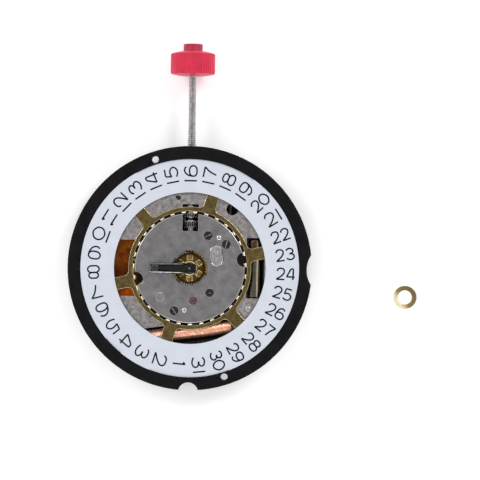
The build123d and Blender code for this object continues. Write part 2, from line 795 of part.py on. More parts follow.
# Round steel cover over the motion work
with BuildPart() as cover_plate:
    with BuildSketch(level(cover_foot)):
        Circle(cover_radius)
    extrude(amount=cover_thickness)
    chamfer(cover_plate.edges().group_by(Axis.Z)[-1], length=cover_bevel)
    with Locations((0, 0, cover_foot - overrun)):
        Cylinder(cover_bore_radius, cover_thickness + 2 * overrun, align=upward, mode=Mode.SUBTRACT)
    with Locations((0, cover_window_foot, cover_foot - overrun)):
        Box(
            2 * cover_window_half_width,
            cover_radius - cover_window_foot + overrun,
            cover_thickness + 2 * overrun,
            align=(Align.CENTER, Align.MIN, Align.MIN),
            mode=Mode.SUBTRACT,
        )
    for angle in (cover_right_notch_angle, cover_left_notch_angle):
        with Locations((*polar(cover_radius, angle), cover_foot - overrun)):
            Cylinder(cover_notch_radius, cover_thickness + 2 * overrun, align=upward, mode=Mode.SUBTRACT)
    spring_seat = Plane(origin=(*wheel_spring_place, cover_foot)).rotated((0, 0, wheel_spring_tilt))
    with BuildSketch(spring_seat.offset(-overrun)):
        SlotOverall(
            wheel_spring_size[1] + 2 * wheel_spring_clearance,
            wheel_spring_size[0] + 2 * wheel_spring_clearance,
            rotation=90,
        )
    extrude(amount=cover_thickness + 2 * overrun, mode=Mode.SUBTRACT)
    with Locations((*cover_recess_place, cover_top - cover_recess_depth)):
        Cylinder(cover_recess_radius, cover_recess_depth + overrun, align=upward, mode=Mode.SUBTRACT)
    for place in plate_jewel_places:
        with Locations((*place, cover_foot - overrun)):
            Cylinder(jewel_radius + screw_clearance, 2 * overrun, align=upward, mode=Mode.SUBTRACT)
    cover_shank_hole_radius = cover_screw_shank_radius + screw_clearance
    for place in cover_screw_places:
        with Locations((*place, cover_top - cover_screw_head_height)):
            Cylinder(cover_screw_head_radius + screw_clearance, overrun, align=upward, mode=Mode.SUBTRACT)
        with Locations((*place, cover_foot - overrun)):
            Cylinder(cover_shank_hole_radius, 2 * overrun, align=upward, mode=Mode.SUBTRACT)
    for place in cover_pin_places:
        with Locations((*place, cover_foot - overrun)):
            Cylinder(cover_pin_radius, cover_thickness + 2 * overrun, align=upward, mode=Mode.SUBTRACT)
cover_plate.part.label = "cover_plate"

# Screws and steady pins of the cover plate
cover_screw_set = slotted_screws(
    cover_screw_places,
    cover_screw_head_radius,
    cover_top,
    cover_screw_head_height,
    cover_screw_shank_radius,
    cover_screw_length - cover_thickness,
)
with BuildPart() as cover_screws:
    add(cover_screw_set)
cover_screws.part.label = "cover_screws"

with BuildPart() as cover_pins:
    for place in cover_pin_places:
        with Locations((*place, cover_top - cover_pin_length)):
            Cylinder(cover_pin_radius, cover_pin_length, align=upward)
    with Locations((*side_pin_place, plate_foot)):
        Cylinder(side_pin_radius, plate_thickness + side_pin_height, align=upward)
    chamfer(cover_pins.edges().filter_by(GeomType.CIRCLE).group_by(Axis.Z)[-1], length=cover_bevel)
cover_pins.part.label = "cover_pins"

# Oblong stamped spring that presses on the minute wheel, in its own opening of the cover plate
with BuildPart() as wheel_spring:
    with BuildSketch(spring_seat):
        SlotOverall(wheel_spring_size[1], wheel_spring_size[0], rotation=90)
    extrude(amount=wheel_spring_thickness)
    with BuildSketch(spring_seat.offset(wheel_spring_thickness)):
        SlotOverall(wheel_spring_size[1], wheel_spring_size[0], rotation=90)
        offset(amount=-2 * wheel_spring_rib, mode=Mode.SUBTRACT)
    extrude(amount=wheel_spring_rib)
    with BuildSketch(spring_seat.offset(wheel_spring_thickness)):
        SlotOverall(wheel_spring_size[1] / 2, wheel_spring_size[0] / 3, rotation=90)
    extrude(amount=wheel_spring_rib)
wheel_spring.part.label = "wheel_spring"

# Jewels: two on the dial side, seen through the cover plate, and four in the train bridge
with BuildPart() as plate_jewels:
    for place, foot in zip(plate_jewel_places, plate_jewel_feet):
        with Locations((*place, foot)):
            Cylinder(jewel_radius, jewel_thickness + cover_thickness / 2, align=upward)
        with Locations((*place, foot - overrun)):
            Cylinder(pivot_radius + pivot_clearance, 2 * overrun, align=upward, mode=Mode.SUBTRACT)
        with Locations((*place, foot + jewel_thickness + cover_thickness / 2 - jewel_cup_depth)):
            Cylinder(jewel_cup_radius, jewel_cup_depth + overrun, align=upward, mode=Mode.SUBTRACT)
plate_jewels.part.label = "plate_jewels"

bridge_jewel_places = (centre_place, third_place, intermediate_place, rotor_place)
with BuildPart() as bridge_jewels:
    for place in bridge_jewel_places:
        with Locations((*place, bridge_foot + jewel_cup_depth)):
            Cylinder(jewel_radius, jewel_thickness, align=upward)
        with Locations((*place, bridge_foot)):
            Cylinder(pivot_radius + pivot_clearance, overrun, align=upward, mode=Mode.SUBTRACT)
        with Locations((*place, bridge_foot)):
            Cylinder(jewel_cup_radius, 2 * jewel_cup_depth, align=upward, mode=Mode.SUBTRACT)
bridge_jewels.part.label = "bridge_jewels"

# Brass bush of the hands' arbor, pressed into the main plate
with BuildPart() as centre_bush:
    with BuildSketch(level(plate_foot)):
        Circle(centre_bush_radius)
        Circle(centre_arbor_radius + running_clearance, mode=Mode.SUBTRACT)
    extrude(amount=lower_pocket_floor - plate_foot)
centre_bush.part.label = "centre_bush"

# Hour wheel: pipe for the hour hand, toothed plate with pressed petals, and coarse pinion
hour_plate = toothed(hour_teeth, hour_module, minute_angle, centre_place, hour_wheel_foot, hour_wheel_top)
hour_pinion = toothed(
    hour_pinion_teeth, driving_module, date_driving_angle, centre_place, hour_pinion_foot, hour_wheel_foot
)
with BuildPart() as hour_wheel:
    add(hour_plate)
    add(hour_pinion)
    with Locations((0, 0, hour_pinion_foot)):
        Cylinder(hour_pipe_radius, hour_pipe_top - hour_pinion_foot, align=upward)
    chamfer(hour_wheel.edges().filter_by(GeomType.CIRCLE).group_by(Axis.Z)[-1], length=cover_bevel)
    pipe_bore_length = hour_pipe_top - hour_pinion_foot + 2 * overrun
    with Locations((0, 0, hour_pinion_foot - overrun)):
        Cylinder(hour_pipe_bore_radius, pipe_bore_length, align=upward, mode=Mode.SUBTRACT)
    with BuildSketch(level(hour_wheel_top - hour_petal_depth)):
        with PolarLocations(hour_petal_inner, hour_petal_count, start_angle=90):
            with Locations((0, 0)):
                SlotOverall(2 * (hour_petal_outer - hour_petal_inner), hour_petal_width)
        Circle(hour_petal_inner, mode=Mode.SUBTRACT)
    extrude(amount=hour_petal_depth, mode=Mode.SUBTRACT)
hour_wheel.part.label = "hour_wheel"

# Cannon pinion: slips on the centre arbor and carries the minute hand
cannon_rim = toothed(
    cannon_teeth, cannon_module, minute_angle, centre_place, cannon_teeth_foot, cannon_teeth_top
)
with BuildPart() as cannon_pinion:
    add(cannon_rim)
    cannon_shoulder = hour_pipe_top + cannon_seat_gap
    with Locations((0, 0, cannon_teeth_foot)):
        Cylinder(cannon_radius, cannon_shoulder - cannon_teeth_foot, align=upward)
        Cylinder(cannon_seat_radius, cannon_top - cannon_teeth_foot, align=upward)
    chamfer(cannon_pinion.edges().filter_by(GeomType.CIRCLE).group_by(Axis.Z)[-1], length=cover_bevel)
    cannon_bore_length = cannon_top - cannon_teeth_foot + 2 * overrun
    with Locations((0, 0, cannon_teeth_foot - overrun)):
        Cylinder(cannon_bore_radius, cannon_bore_length, align=upward, mode=Mode.SUBTRACT)
cannon_pinion.part.label = "cannon_pinion"

# Minute wheel with its pinion
minute_first = meshed(cannon_teeth, minute_angle, minute_teeth, minute_angle)
minute_rim = toothed(
    minute_teeth, cannon_module, minute_first, minute_place, minute_wheel_foot, minute_wheel_top
)
minute_pinion_first = meshed(hour_teeth, minute_angle, minute_pinion_teeth, minute_angle)
minute_pinion = toothed(
    minute_pinion_teeth, hour_module, minute_pinion_first, minute_place, minute_wheel_top, hour_wheel_top
)
with BuildPart() as minute_wheel:
    add(minute_rim)
    add(minute_pinion)
    with Locations((*minute_place, minute_wheel_foot - overrun)):
        Cylinder(minute_post_radius + running_clearance, through, align=upward, mode=Mode.SUBTRACT)
minute_wheel.part.label = "minute_wheel"

# Setting wheel between the sliding pinion and the minute wheel
setting_first = meshed(minute_teeth, minute_first, setting_teeth, heading(minute_place, setting_place))
setting_rim = toothed(
    setting_teeth, cannon_module, setting_first, setting_place, minute_wheel_foot, minute_wheel_top
)
with BuildPart() as setting_wheel:
    add(setting_rim)
    with Locations((*setting_place, minute_wheel_foot - overrun)):
        Cylinder(setting_post_radius + running_clearance, through, align=upward, mode=Mode.SUBTRACT)
setting_wheel.part.label = "setting_wheel"

# Date driving wheel, one turn a day, and the finger that pushes the date ring
driving_first = meshed(hour_pinion_teeth, date_driving_angle, date_driving_teeth, date_driving_angle)
driving_rim = toothed(
    date_driving_teeth, driving_module, driving_first, driving_place, driving_wheel_foot, driving_wheel_top
)
driving_windows = crossed(
    tip_radius(date_driving_teeth, driving_module),
    driving_place,
    driving_wheel_foot - overrun,
    driving_wheel_top + overrun,
)
with BuildPart() as date_driving_wheel:
    add(driving_rim)
    add(driving_windows, mode=Mode.SUBTRACT)
    with Locations((*driving_place, driving_wheel_foot - overrun)):
        Cylinder(date_driving_post_radius + running_clearance, through, align=upward, mode=Mode.SUBTRACT)
date_driving_wheel.part.label = "date_driving_wheel"

finger_tip = (
    driving_place[0] + polar(date_finger_reach - date_finger_width / 2, date_finger_rest_angle)[0],
    driving_place[1] + polar(date_finger_reach - date_finger_width / 2, date_finger_rest_angle)[1],
)
finger_blank = strip(
    (driving_place, finger_tip),
    date_finger_width,
    hour_wheel_foot,
    hour_wheel_top,
    (3 * date_finger_width, 0),
)
with BuildPart() as date_finger:
    add(finger_blank)
    with Locations((*driving_place, driving_wheel_top)):
        Cylinder(2 * date_finger_width, hour_wheel_foot - driving_wheel_top, align=upward)
    with Locations((*driving_place, driving_wheel_foot - overrun)):
        Cylinder(date_driving_post_radius + running_clearance, through, align=upward, mode=Mode.SUBTRACT)
date_finger.part.label = "date_finger"

# Toothed brass carrier of the date ring: inner teeth, six flared arms and a band under the white ring
tooth_pitch = 360 / date_count
first_gap = cover_right_notch_angle
rim_flank = (
    (-date_tooth_root_width / 2, date_root_radius),
    (-date_tooth_tip_width / 2, date_tip_radius),
    (date_tooth_tip_width / 2, date_tip_radius),
    (date_tooth_root_width / 2, date_root_radius),
)
rim_corners = []
for tooth in range(date_count):
    tooth_angle = first_gap + (tooth + 1 / 2) * tooth_pitch
    for offset_along, radius in rim_flank:
        rim_corners.append(polar(radius, tooth_angle + degrees(offset_along / radius)))
near_arm = degrees(asin(date_arm_width / 2 / date_rim_radius))
far_arm = degrees(asin(date_arm_width / 2 / date_band_inner))
arm_turn = 360 / date_arm_count
with BuildPart() as date_window:
    with BuildSketch(level(date_foot - overrun)) as window_sketch:
        with BuildLine():
            window_first = polar(date_rim_radius, near_arm)
            window_second = polar(date_band_inner, far_arm)
            window_third = polar(date_band_inner, arm_turn - far_arm)
            window_fourth = polar(date_rim_radius, arm_turn - near_arm)
            Line(window_first, window_second)
            ThreePointArc(window_second, polar(date_band_inner, arm_turn / 2), window_third)
            Line(window_third, window_fourth)
            ThreePointArc(window_fourth, polar(date_rim_radius, arm_turn / 2), window_first)
        make_face()
        fillet(window_sketch.vertices(), radius=date_arm_fillet)
    extrude(amount=date_wheel_thickness + 2 * overrun)
with BuildPart() as date_wheel:
    with BuildSketch(level(date_foot)):
        Circle(date_band_outer)
        with BuildLine():
            Polyline(*rim_corners, close=True)
        make_face(mode=Mode.SUBTRACT)
    extrude(amount=date_wheel_thickness)
    for arm in range(date_arm_count):
        window_turn = date_arm_angle + arm * arm_turn
        add(date_window.part.rotate(Axis.Z, window_turn), mode=Mode.SUBTRACT)
date_wheel.part.label = "date_wheel"

# White date ring
with BuildPart() as date_disc:
    with BuildSketch(level(disc_foot)):
        Circle(disc_outer_radius)
        Circle(disc_inner_radius, mode=Mode.SUBTRACT)
    extrude(amount=disc_thickness)
date_disc.part.label = "date_disc"

# Date jumper: a spring strip from its post to a beak between two date teeth
beak_foot = jumper_beak_reach - jumper_beak_depth
beak_half_angle = degrees(jumper_beak_width / 2 / beak_foot)
beak_root = polar(beak_foot, cover_right_notch_angle)
jumper_strip = strip(
    (jumper_anchor_place, jumper_bend_place, beak_root),
    jumper_width,
    hour_wheel_foot,
    hour_wheel_top,
    (jumper_anchor_radius, jumper_width),
)
with BuildPart() as date_jumper:
    add(jumper_strip)
    with BuildSketch(level(hour_wheel_foot)):
        with BuildLine():
            Polyline(
                polar(beak_foot, cover_right_notch_angle - beak_half_angle),
                polar(jumper_beak_reach, cover_right_notch_angle),
                polar(beak_foot, cover_right_notch_angle + beak_half_angle),
                close=True,
            )
        make_face()
    extrude(amount=hour_wheel_thickness)
    with Locations((*jumper_anchor_place, hour_wheel_foot - overrun)):
        Cylinder(cover_screw_shank_radius, 2 * overrun, align=upward, mode=Mode.SUBTRACT)
date_jumper.part.label = "date_jumper"


def train_wheel(teeth, module, place, low, high, hub_radius):
    """A thin crossed train wheel between two heights."""
    rim = toothed(teeth, module, 0, place, low, high)
    windows = crossed(tip_radius(teeth, module), place, low - overrun, high + overrun)
    with BuildPart() as wheel:
        add(rim)
        add(windows, mode=Mode.SUBTRACT)
        with Locations((*place, low)):
            Cylinder(hub_radius, high - low, align=upward)
    return wheel.part


# Centre wheel with the hollow arbor that carries the cannon pinion
centre_rim = train_wheel(
    centre_teeth,
    centre_module,
    centre_place,
    centre_level,
    centre_level + train_wheel_thickness,
    2 * centre_arbor_radius,
)
with BuildPart() as centre_wheel:
    add(centre_rim)
    with Locations((0, 0, centre_level)):
        Cylinder(centre_arbor_radius, centre_arbor_top - centre_level, align=upward)
    arbor_bore_length = centre_arbor_top - centre_level + 2 * overrun
    with Locations((0, 0, centre_level - overrun)):
        Cylinder(centre_arbor_bore_radius, arbor_bore_length, align=upward, mode=Mode.SUBTRACT)
centre_wheel.part.label = "centre_wheel"


def train_arbor(place, low_pivot, low_shoulder, high_shoulder, high_pivot):
    """An upright arbor with a pivot at each end."""
    return turned(
        (
            (low_pivot, low_shoulder, pivot_radius),
            (low_shoulder, high_shoulder, train_arbor_radius),
            (high_shoulder, high_pivot, pivot_radius),
        ),
        place,
    )


arbor_low_pivot = bridge_foot + 2 * jewel_cup_depth
arbor_low_shoulder = bridge_top + train_pinion_margin

# Third wheel, driven by the seconds pinion and driving the centre wheel
third_rim = train_wheel(
    third_teeth,
    third_module,
    third_place,
    third_level,
    third_level + train_wheel_thickness,
    2 * train_arbor_radius,
)
third_pinion = toothed(
    third_pinion_teeth,
    centre_module,
    meshed(centre_teeth, 0, third_pinion_teeth, third_angle),
    third_place,
    third_level,
    centre_level + train_wheel_thickness + train_pinion_margin,
)
third_arbor = train_arbor(
    third_place,
    arbor_low_pivot,
    arbor_low_shoulder,
    plate_foot - train_pinion_margin,
    plate_foot + plate_thickness / 4,
)
with BuildPart() as third_wheel:
    add(third_rim)
    add(third_pinion)
    add(third_arbor)
third_wheel.part.label = "third_wheel"

# Seconds wheel, its pinion, and the arbor that reaches through the hands
seconds_rim = train_wheel(
    seconds_teeth,
    seconds_module,
    centre_place,
    seconds_level,
    seconds_level + train_wheel_thickness,
    4 * seconds_arbor_radius,
)
seconds_pinion = toothed(
    seconds_pinion_teeth,
    third_module,
    meshed(third_teeth, 0, seconds_pinion_teeth, third_angle + 180),
    centre_place,
    seconds_level,
    third_level + train_wheel_thickness + train_pinion_margin,
)
seconds_arbor = turned(
    (
        (arbor_low_pivot, arbor_low_shoulder, pivot_radius),
        (arbor_low_shoulder, check_hand_low, seconds_arbor_radius),
        (check_hand_low, seconds_arbor_top, seconds_seat_radius),
    ),
    centre_place,
)
with BuildPart() as seconds_wheel:
    add(seconds_rim)
    add(seconds_pinion)
    add(seconds_arbor)
seconds_wheel.part.label = "seconds_wheel"

# Intermediate wheel between the rotor and the seconds wheel
intermediate_rim = train_wheel(
    intermediate_teeth,
    rotor_module,
    intermediate_place,
    intermediate_level,
    intermediate_level + train_wheel_thickness,
    3 * train_arbor_radius,
)
intermediate_pinion = toothed(
    intermediate_pinion_teeth,
    seconds_module,
    meshed(seconds_teeth, 0, intermediate_pinion_teeth, heading(centre_place, intermediate_place)),
    intermediate_place,
    intermediate_level + train_wheel_thickness,
    seconds_level + train_wheel_thickness + train_pinion_margin,
)
intermediate_arbor = train_arbor(
    intermediate_place,
    arbor_low_pivot,
    arbor_low_shoulder,
    plate_jewel_feet[1] - train_pinion_margin,
    plate_jewel_feet[1] + jewel_thickness - train_pinion_margin,
)
with BuildPart() as intermediate_wheel:
    add(intermediate_rim)
    add(intermediate_pinion)
    add(intermediate_arbor)
intermediate_wheel.part.label = "intermediate_wheel"

# Rotor of the step motor: magnet, pinion and arbor
magnet_foot = core_foot - stator_thickness + (stator_thickness - magnet_height) / 2
rotor_pinion = toothed(
    rotor_pinion_teeth,
    rotor_module,
    meshed(intermediate_teeth, 0, rotor_pinion_teeth, heading(intermediate_place, rotor_place)),
    rotor_place,
    intermediate_level - train_pinion_margin,
    intermediate_level + train_wheel_thickness + train_pinion_margin,
)
rotor_shoulder = cover_foot - jewel_thickness - train_pinion_margin
rotor_arbor = turned(
    (
        (arbor_low_pivot, arbor_low_shoulder, pivot_radius),
        (arbor_low_shoulder, rotor_shoulder, seconds_arbor_radius),
        (rotor_shoulder, cover_foot - train_pinion_margin, pivot_radius),
    ),
    rotor_place,
)
with BuildPart() as rotor:
    add(rotor_arbor)
    add(rotor_pinion)
    with Locations((*rotor_place, magnet_foot)):
        Cylinder(magnet_radius, magnet_height, align=upward)
rotor.part.label = "rotor"

# Stator: one soft-iron sheet round the rotor, with a leg to each end of the coil core
tilt = radians(coil_tilt)
left_end = (coil_place[0] - coil_length / 2 * cos(tilt), coil_place[1] - coil_length / 2 * sin(tilt))
right_end = (coil_place[0] + coil_length / 2 * cos(tilt), coil_place[1] + coil_length / 2 * sin(tilt))
leg_left = left_end[0] - stator_leg_gap
leg_right = right_end[0] + stator_leg_gap
left_foot = left_end[1] - coil_core_width
right_foot = right_end[1] - coil_core_width / 2
arm_foot = right_end[1] + coil_flange_radius + stator_coil_gap
head_left = rotor_place[0] - stator_head_width / 2
head_right = rotor_place[0] + stator_head_width / 2
with BuildPart() as stator:
    with BuildSketch(level(core_foot - stator_thickness)):
        with BuildLine():
            Polyline(
                (leg_left - stator_leg_width, left_foot),
                (leg_left, left_foot),
                (leg_left, arm_foot),
                (leg_right, arm_foot),
                (leg_right, right_foot),
                (leg_right + stator_leg_width, right_foot),
                (leg_right + stator_leg_width, stator_arm_top),
                (head_right, stator_arm_top),
                (head_right, stator_head_top),
                (head_left, stator_head_top),
                (head_left, stator_arm_top),
                (leg_left - stator_leg_width, stator_arm_top),
                close=True,
            )
        make_face()
        with Locations(rotor_place):
            Circle(stator_hole_radius, mode=Mode.SUBTRACT)
    extrude(amount=stator_thickness)
stator.part.label = "stator"

# Coil: flat iron core, bobbin flanges and the copper winding
coil_plane = Plane(origin=(*coil_place, coil_axis), x_dir=(cos(tilt), sin(tilt), 0), z_dir=(0, 0, 1))
coil_section = Plane(
    origin=coil_plane.from_local_coords((-coil_length / 2, 0, 0)),
    x_dir=coil_plane.y_dir,
    z_dir=coil_plane.x_dir,
)
with BuildPart() as coil_core:
    with BuildSketch(coil_plane.offset(-coil_core_height / 2)):
        Rectangle(coil_core_length, coil_core_width)
    extrude(amount=coil_core_height)
coil_core.part.label = "coil_core"

with BuildPart() as coil_flanges:
    for start in (0, coil_length - coil_flange_thickness):
        with BuildSketch(coil_section.offset(start)):
            Circle(coil_flange_radius)
            Rectangle(coil_core_width, coil_core_height, mode=Mode.SUBTRACT)
        extrude(amount=coil_flange_thickness)
coil_flanges.part.label = "coil_flanges"

with BuildPart() as coil_winding:
    with BuildSketch(coil_section.offset(coil_flange_thickness)):
        Circle(coil_radius)
        Rectangle(coil_core_width, coil_core_height, mode=Mode.SUBTRACT)
    extrude(amount=coil_length - 2 * coil_flange_thickness)
coil_winding.part.label = "coil_winding"

# Black guard under the coil, with a side wall that stands against the main plate
guard_top = coil_axis - coil_flange_radius
guard_width = coil_room + 2 * guard_wall_width
with BuildPart() as coil_guard:
    with BuildSketch(Plane(origin=(*coil_place, guard_top - guard_thickness)).rotated((0, 0, coil_tilt))):
        Rectangle(guard_length, guard_width)
    extrude(amount=guard_thickness)
    with BuildSketch(Plane(origin=(*coil_place, guard_top)).rotated((0, 0, coil_tilt))):
        with Locations((0, (guard_wall_width - guard_width) / 2)):
            Rectangle(guard_length, guard_wall_width)
    extrude(amount=plate_foot - guard_top)
coil_guard.part.label = "coil_guard"

# Black shield under the keyless works: it closes them from below and lies on the stem boss
shield_top = plate_foot - stem_boss_depth
shield_width = keyless_shield_span[1] - keyless_shield_span[0]
ear_height = keyless_shield_ear_span[1] - keyless_shield_ear_span[0]
with BuildPart() as keyless_shield:
    with BuildSketch(level(shield_top - keyless_shield_thickness)):
        Circle(keyless_shield_radius)
        with Locations((keyless_shield_span[0], keyless_shield_foot)):
            Rectangle(
                shield_width,
                keyless_shield_radius,
                align=(Align.MIN, Align.MIN),
                mode=Mode.INTERSECT,
            )
        with Locations((keyless_shield_span[1], keyless_shield_ear_span[0])):
            Rectangle(keyless_shield_ear_width, ear_height, align=(Align.MIN, Align.MIN))
    extrude(amount=keyless_shield_thickness)
keyless_shield.part.label = "keyless_shield"

# Battery with its can, gasket and cap, the contact, the insulating foil and the clamp
can_height = battery_height - battery_cap_height
gasket_radius = battery_cap_radius + battery_gasket_width
with BuildPart() as battery_can:
    with Locations((*battery_place, battery_foot)):
        Cylinder(battery_radius, can_height, align=upward)
    fillet(battery_can.edges().group_by(Axis.Z)[0], radius=battery_gasket_width)
    chamfer(battery_can.edges().group_by(Axis.Z)[-1], length=battery_gasket_width)
    with Locations((*battery_place, battery_foot + can_height - battery_gasket_width)):
        Cylinder(gasket_radius, battery_gasket_width + overrun, align=upward, mode=Mode.SUBTRACT)
battery_can.part.label = "battery_can"

with BuildPart() as battery_gasket:
    with Locations((*battery_place, battery_foot + can_height - battery_gasket_width)):
        Cylinder(gasket_radius, battery_gasket_width + battery_cap_height / 3, align=upward)
        Cylinder(battery_cap_radius, battery_height, align=upward, mode=Mode.SUBTRACT)
battery_gasket.part.label = "battery_gasket"

with BuildPart() as battery_cap:
    with Locations((*battery_place, battery_foot + can_height - battery_gasket_width)):
        Cylinder(battery_cap_radius, battery_cap_height + battery_gasket_width, align=upward)
    fillet(battery_cap.edges().group_by(Axis.Z)[-1], radius=battery_cap_height / 3)
battery_cap.part.label = "battery_cap"

with BuildPart() as negative_contact:
    with BuildSketch(level(battery_top)):
        with Locations(battery_place):
            Rectangle(contact_length, contact_width)
            Circle(contact_width)
    extrude(amount=contact_thickness)
negative_contact.part.label = "negative_contact"

with BuildPart() as insulating_foil:
    with Locations((*battery_place, well_ceiling - foil_thickness)):
        Cylinder(battery_radius - foil_margin, foil_thickness, align=upward)
insulating_foil.part.label = "insulating_foil"

clamp_length = 2 * clamp_post_offset + 2 * clamp_end_margin
with BuildPart() as battery_clamp:
    with BuildSketch(level(clamp_foot)):
        with Locations((battery_place[0] + clamp_offset, battery_place[1])):
            SlotOverall(clamp_length, clamp_width, rotation=90)
        with Locations(*clamp_post_places):
            Circle(post_screw_shank_radius + screw_clearance, mode=Mode.SUBTRACT)
    extrude(amount=clamp_thickness)
battery_clamp.part.label = "battery_clamp"

clamp_screw_set = slotted_screws(
    clamp_post_places,
    post_screw_head_radius,
    clamp_foot - post_screw_head_height,
    post_screw_head_height,
    post_screw_shank_radius,
    post_screw_length,
    downwards=False,
)
with BuildPart() as clamp_screws:
    add(clamp_screw_set)
clamp_screws.part.label = "clamp_screws"

# Circuit board with its crystal, chip and capacitor, under the module cover
with BuildPart() as circuit_board:
    with BuildSketch(level(board_foot)):
        Circle(board_edge_radius)
        with Locations((board_inner_edge, 0)):
            Rectangle(
                board_edge_radius,
                2 * board_half_length,
                align=(Align.MIN, Align.CENTER),
                mode=Mode.INTERSECT,
            )
        with Locations(*board_post_places):
            Circle(post_screw_shank_radius + screw_clearance, mode=Mode.SUBTRACT)
    extrude(amount=board_thickness)
circuit_board.part.label = "circuit_board"

module_foot = board_foot - module_cover_thickness
with BuildPart() as module_cover:
    with BuildSketch(level(module_foot)):
        Circle(board_edge_radius - module_cover_inset)
        with Locations((board_inner_edge + module_cover_inset, 0)):
            Rectangle(
                board_edge_radius,
                2 * (board_half_length - module_cover_inset),
                align=(Align.MIN, Align.CENTER),
                mode=Mode.INTERSECT,
            )
        with Locations(*board_post_places):
            Circle(post_screw_shank_radius + screw_clearance, mode=Mode.SUBTRACT)
    extrude(amount=module_cover_thickness)
module_cover.part.label = "module_cover"

module_screw_set = slotted_screws(
    board_post_places,
    post_screw_head_radius,
    module_foot - post_screw_head_height,
    post_screw_head_height,
    post_screw_shank_radius,
    post_screw_length,
    downwards=False,
)
with BuildPart() as module_screws:
    add(module_screw_set)
module_screws.part.label = "module_screws"

crystal_foot = crystal_place[1] - crystal_length / 2
with BuildPart() as quartz_crystal:
    with BuildSketch(Plane.XZ.offset(-crystal_foot)):
        with Locations((crystal_place[0], crystal_axis)):
            Circle(crystal_radius)
    extrude(amount=-crystal_length)
    fillet(quartz_crystal.edges().group_by(Axis.Y)[-1], radius=crystal_radius / 4)
quartz_crystal.part.label = "quartz_crystal"

with BuildPart() as crystal_leads:
    lead_height = board_top + crystal_lead_radius
    with BuildSketch(Plane.XZ.offset(-crystal_foot)):
        with Locations(
            (crystal_place[0] - crystal_lead_spread, lead_height),
            (crystal_place[0] + crystal_lead_spread, lead_height),
        ):
            Circle(crystal_lead_radius)
    extrude(amount=crystal_lead_length)
crystal_leads.part.label = "crystal_leads"

with BuildPart() as circuit_chip:
    with Locations((*chip_place, board_top)):
        Cylinder(chip_radius, chip_height, align=upward)
    fillet(circuit_chip.edges().group_by(Axis.Z)[-1], radius=chip_height / 2)
circuit_chip.part.label = "circuit_chip"

with BuildPart() as trim_capacitor:
    with Locations((*trim_capacitor_place, board_top)):
        Box(*trim_capacitor_size, align=upward)
    chamfer(trim_capacitor.edges().group_by(Axis.Z)[-1], length=cover_bevel)
trim_capacitor.part.label = "trim_capacitor"

# Train bridge on four pillars, and its screws
bridge_corners = [
    (place[0] + copysign(bridge_margin, place[0]), place[1] + copysign(bridge_margin, place[1]))
    for place in pillar_places
]
with BuildPart() as train_bridge:
    with BuildSketch(level(bridge_foot)) as bridge_sketch:
        with BuildLine():
            Polyline(*bridge_corners, close=True)
        make_face()
        with Locations(rotor_place):
            Circle(stator_head_width / 2)
        outer_corners = bridge_sketch.vertices().filter_by(
            lambda corner: span(rotor_place, (corner.X, corner.Y)) > stator_head_width
        )
        fillet(outer_corners, radius=bridge_corner)
    extrude(amount=bridge_thickness)
    for place in bridge_jewel_places:
        with Locations((*place, bridge_foot - overrun)):
            Cylinder(jewel_radius, bridge_thickness + 2 * overrun, align=upward, mode=Mode.SUBTRACT)
    for place in pillar_places:
        with Locations((*place, bridge_foot - overrun)):
            Cylinder(
                bridge_screw_head_radius + screw_clearance,
                bridge_screw_head_height + overrun,
                align=upward,
                mode=Mode.SUBTRACT,
            )
            Cylinder(
                bridge_screw_shank_radius + screw_clearance,
                bridge_thickness + 2 * overrun,
                align=upward,
                mode=Mode.SUBTRACT,
            )
train_bridge.part.label = "train_bridge"

bridge_screw_set = slotted_screws(
    pillar_places,
    bridge_screw_head_radius,
    bridge_foot,
    bridge_screw_head_height,
    bridge_screw_shank_radius,
    bridge_screw_length,
    downwards=False,
)
with BuildPart() as bridge_screws:
    add(bridge_screw_set)
bridge_screws.part.label = "bridge_screws"

# Sliding pinion on the square of the stem, with face teeth at its inner end
pinion_start = sliding_pinion_span[0]
pinion_length = sliding_pinion_span[1] - pinion_start
groove_length = sliding_pinion_groove_span[1] - sliding_pinion_groove_span[0]
with BuildPart() as sliding_pinion:
    with BuildSketch(Plane.XZ.offset(-pinion_start)):
        with Locations((0, stem_axis)):
            Circle(sliding_pinion_radius)
            with PolarLocations(sliding_pinion_radius, sliding_pinion_flutes):
                Circle(sliding_pinion_flute_radius, mode=Mode.SUBTRACT)
    extrude(amount=-pinion_length)
    with BuildSketch(Plane.XZ.offset(-sliding_pinion_groove_span[0])):
        with Locations((0, stem_axis)):
            Circle(sliding_pinion_radius + overrun)
            Circle(sliding_pinion_groove_radius, mode=Mode.SUBTRACT)
    extrude(amount=-groove_length, mode=Mode.SUBTRACT)
    with BuildSketch(Plane.XZ.offset(-pinion_start + sliding_pinion_face_height)):
        with Locations((0, stem_axis)):
            Circle(sliding_pinion_radius - sliding_pinion_flute_radius)
            Circle(sliding_pinion_face_inner, mode=Mode.SUBTRACT)
            face_tooth_length = sliding_pinion_radius - sliding_pinion_face_inner
            face_gap = 3 * sliding_pinion_radius / sliding_pinion_face_teeth
            with PolarLocations(sliding_pinion_radius - face_tooth_length / 2, sliding_pinion_face_teeth):
                Rectangle(2 * face_tooth_length, face_gap / 2, mode=Mode.SUBTRACT)
    extrude(amount=-sliding_pinion_face_height)
    with BuildSketch(Plane.XZ.offset(-pinion_start + overrun)):
        with Locations((0, stem_axis)):
            square_hole = stem_square + 2 * sliding_pinion_clearance
            Rectangle(square_hole, square_hole)
    extrude(amount=-(pinion_length + 2 * overrun), mode=Mode.SUBTRACT)
sliding_pinion.part.label = "sliding_pinion"

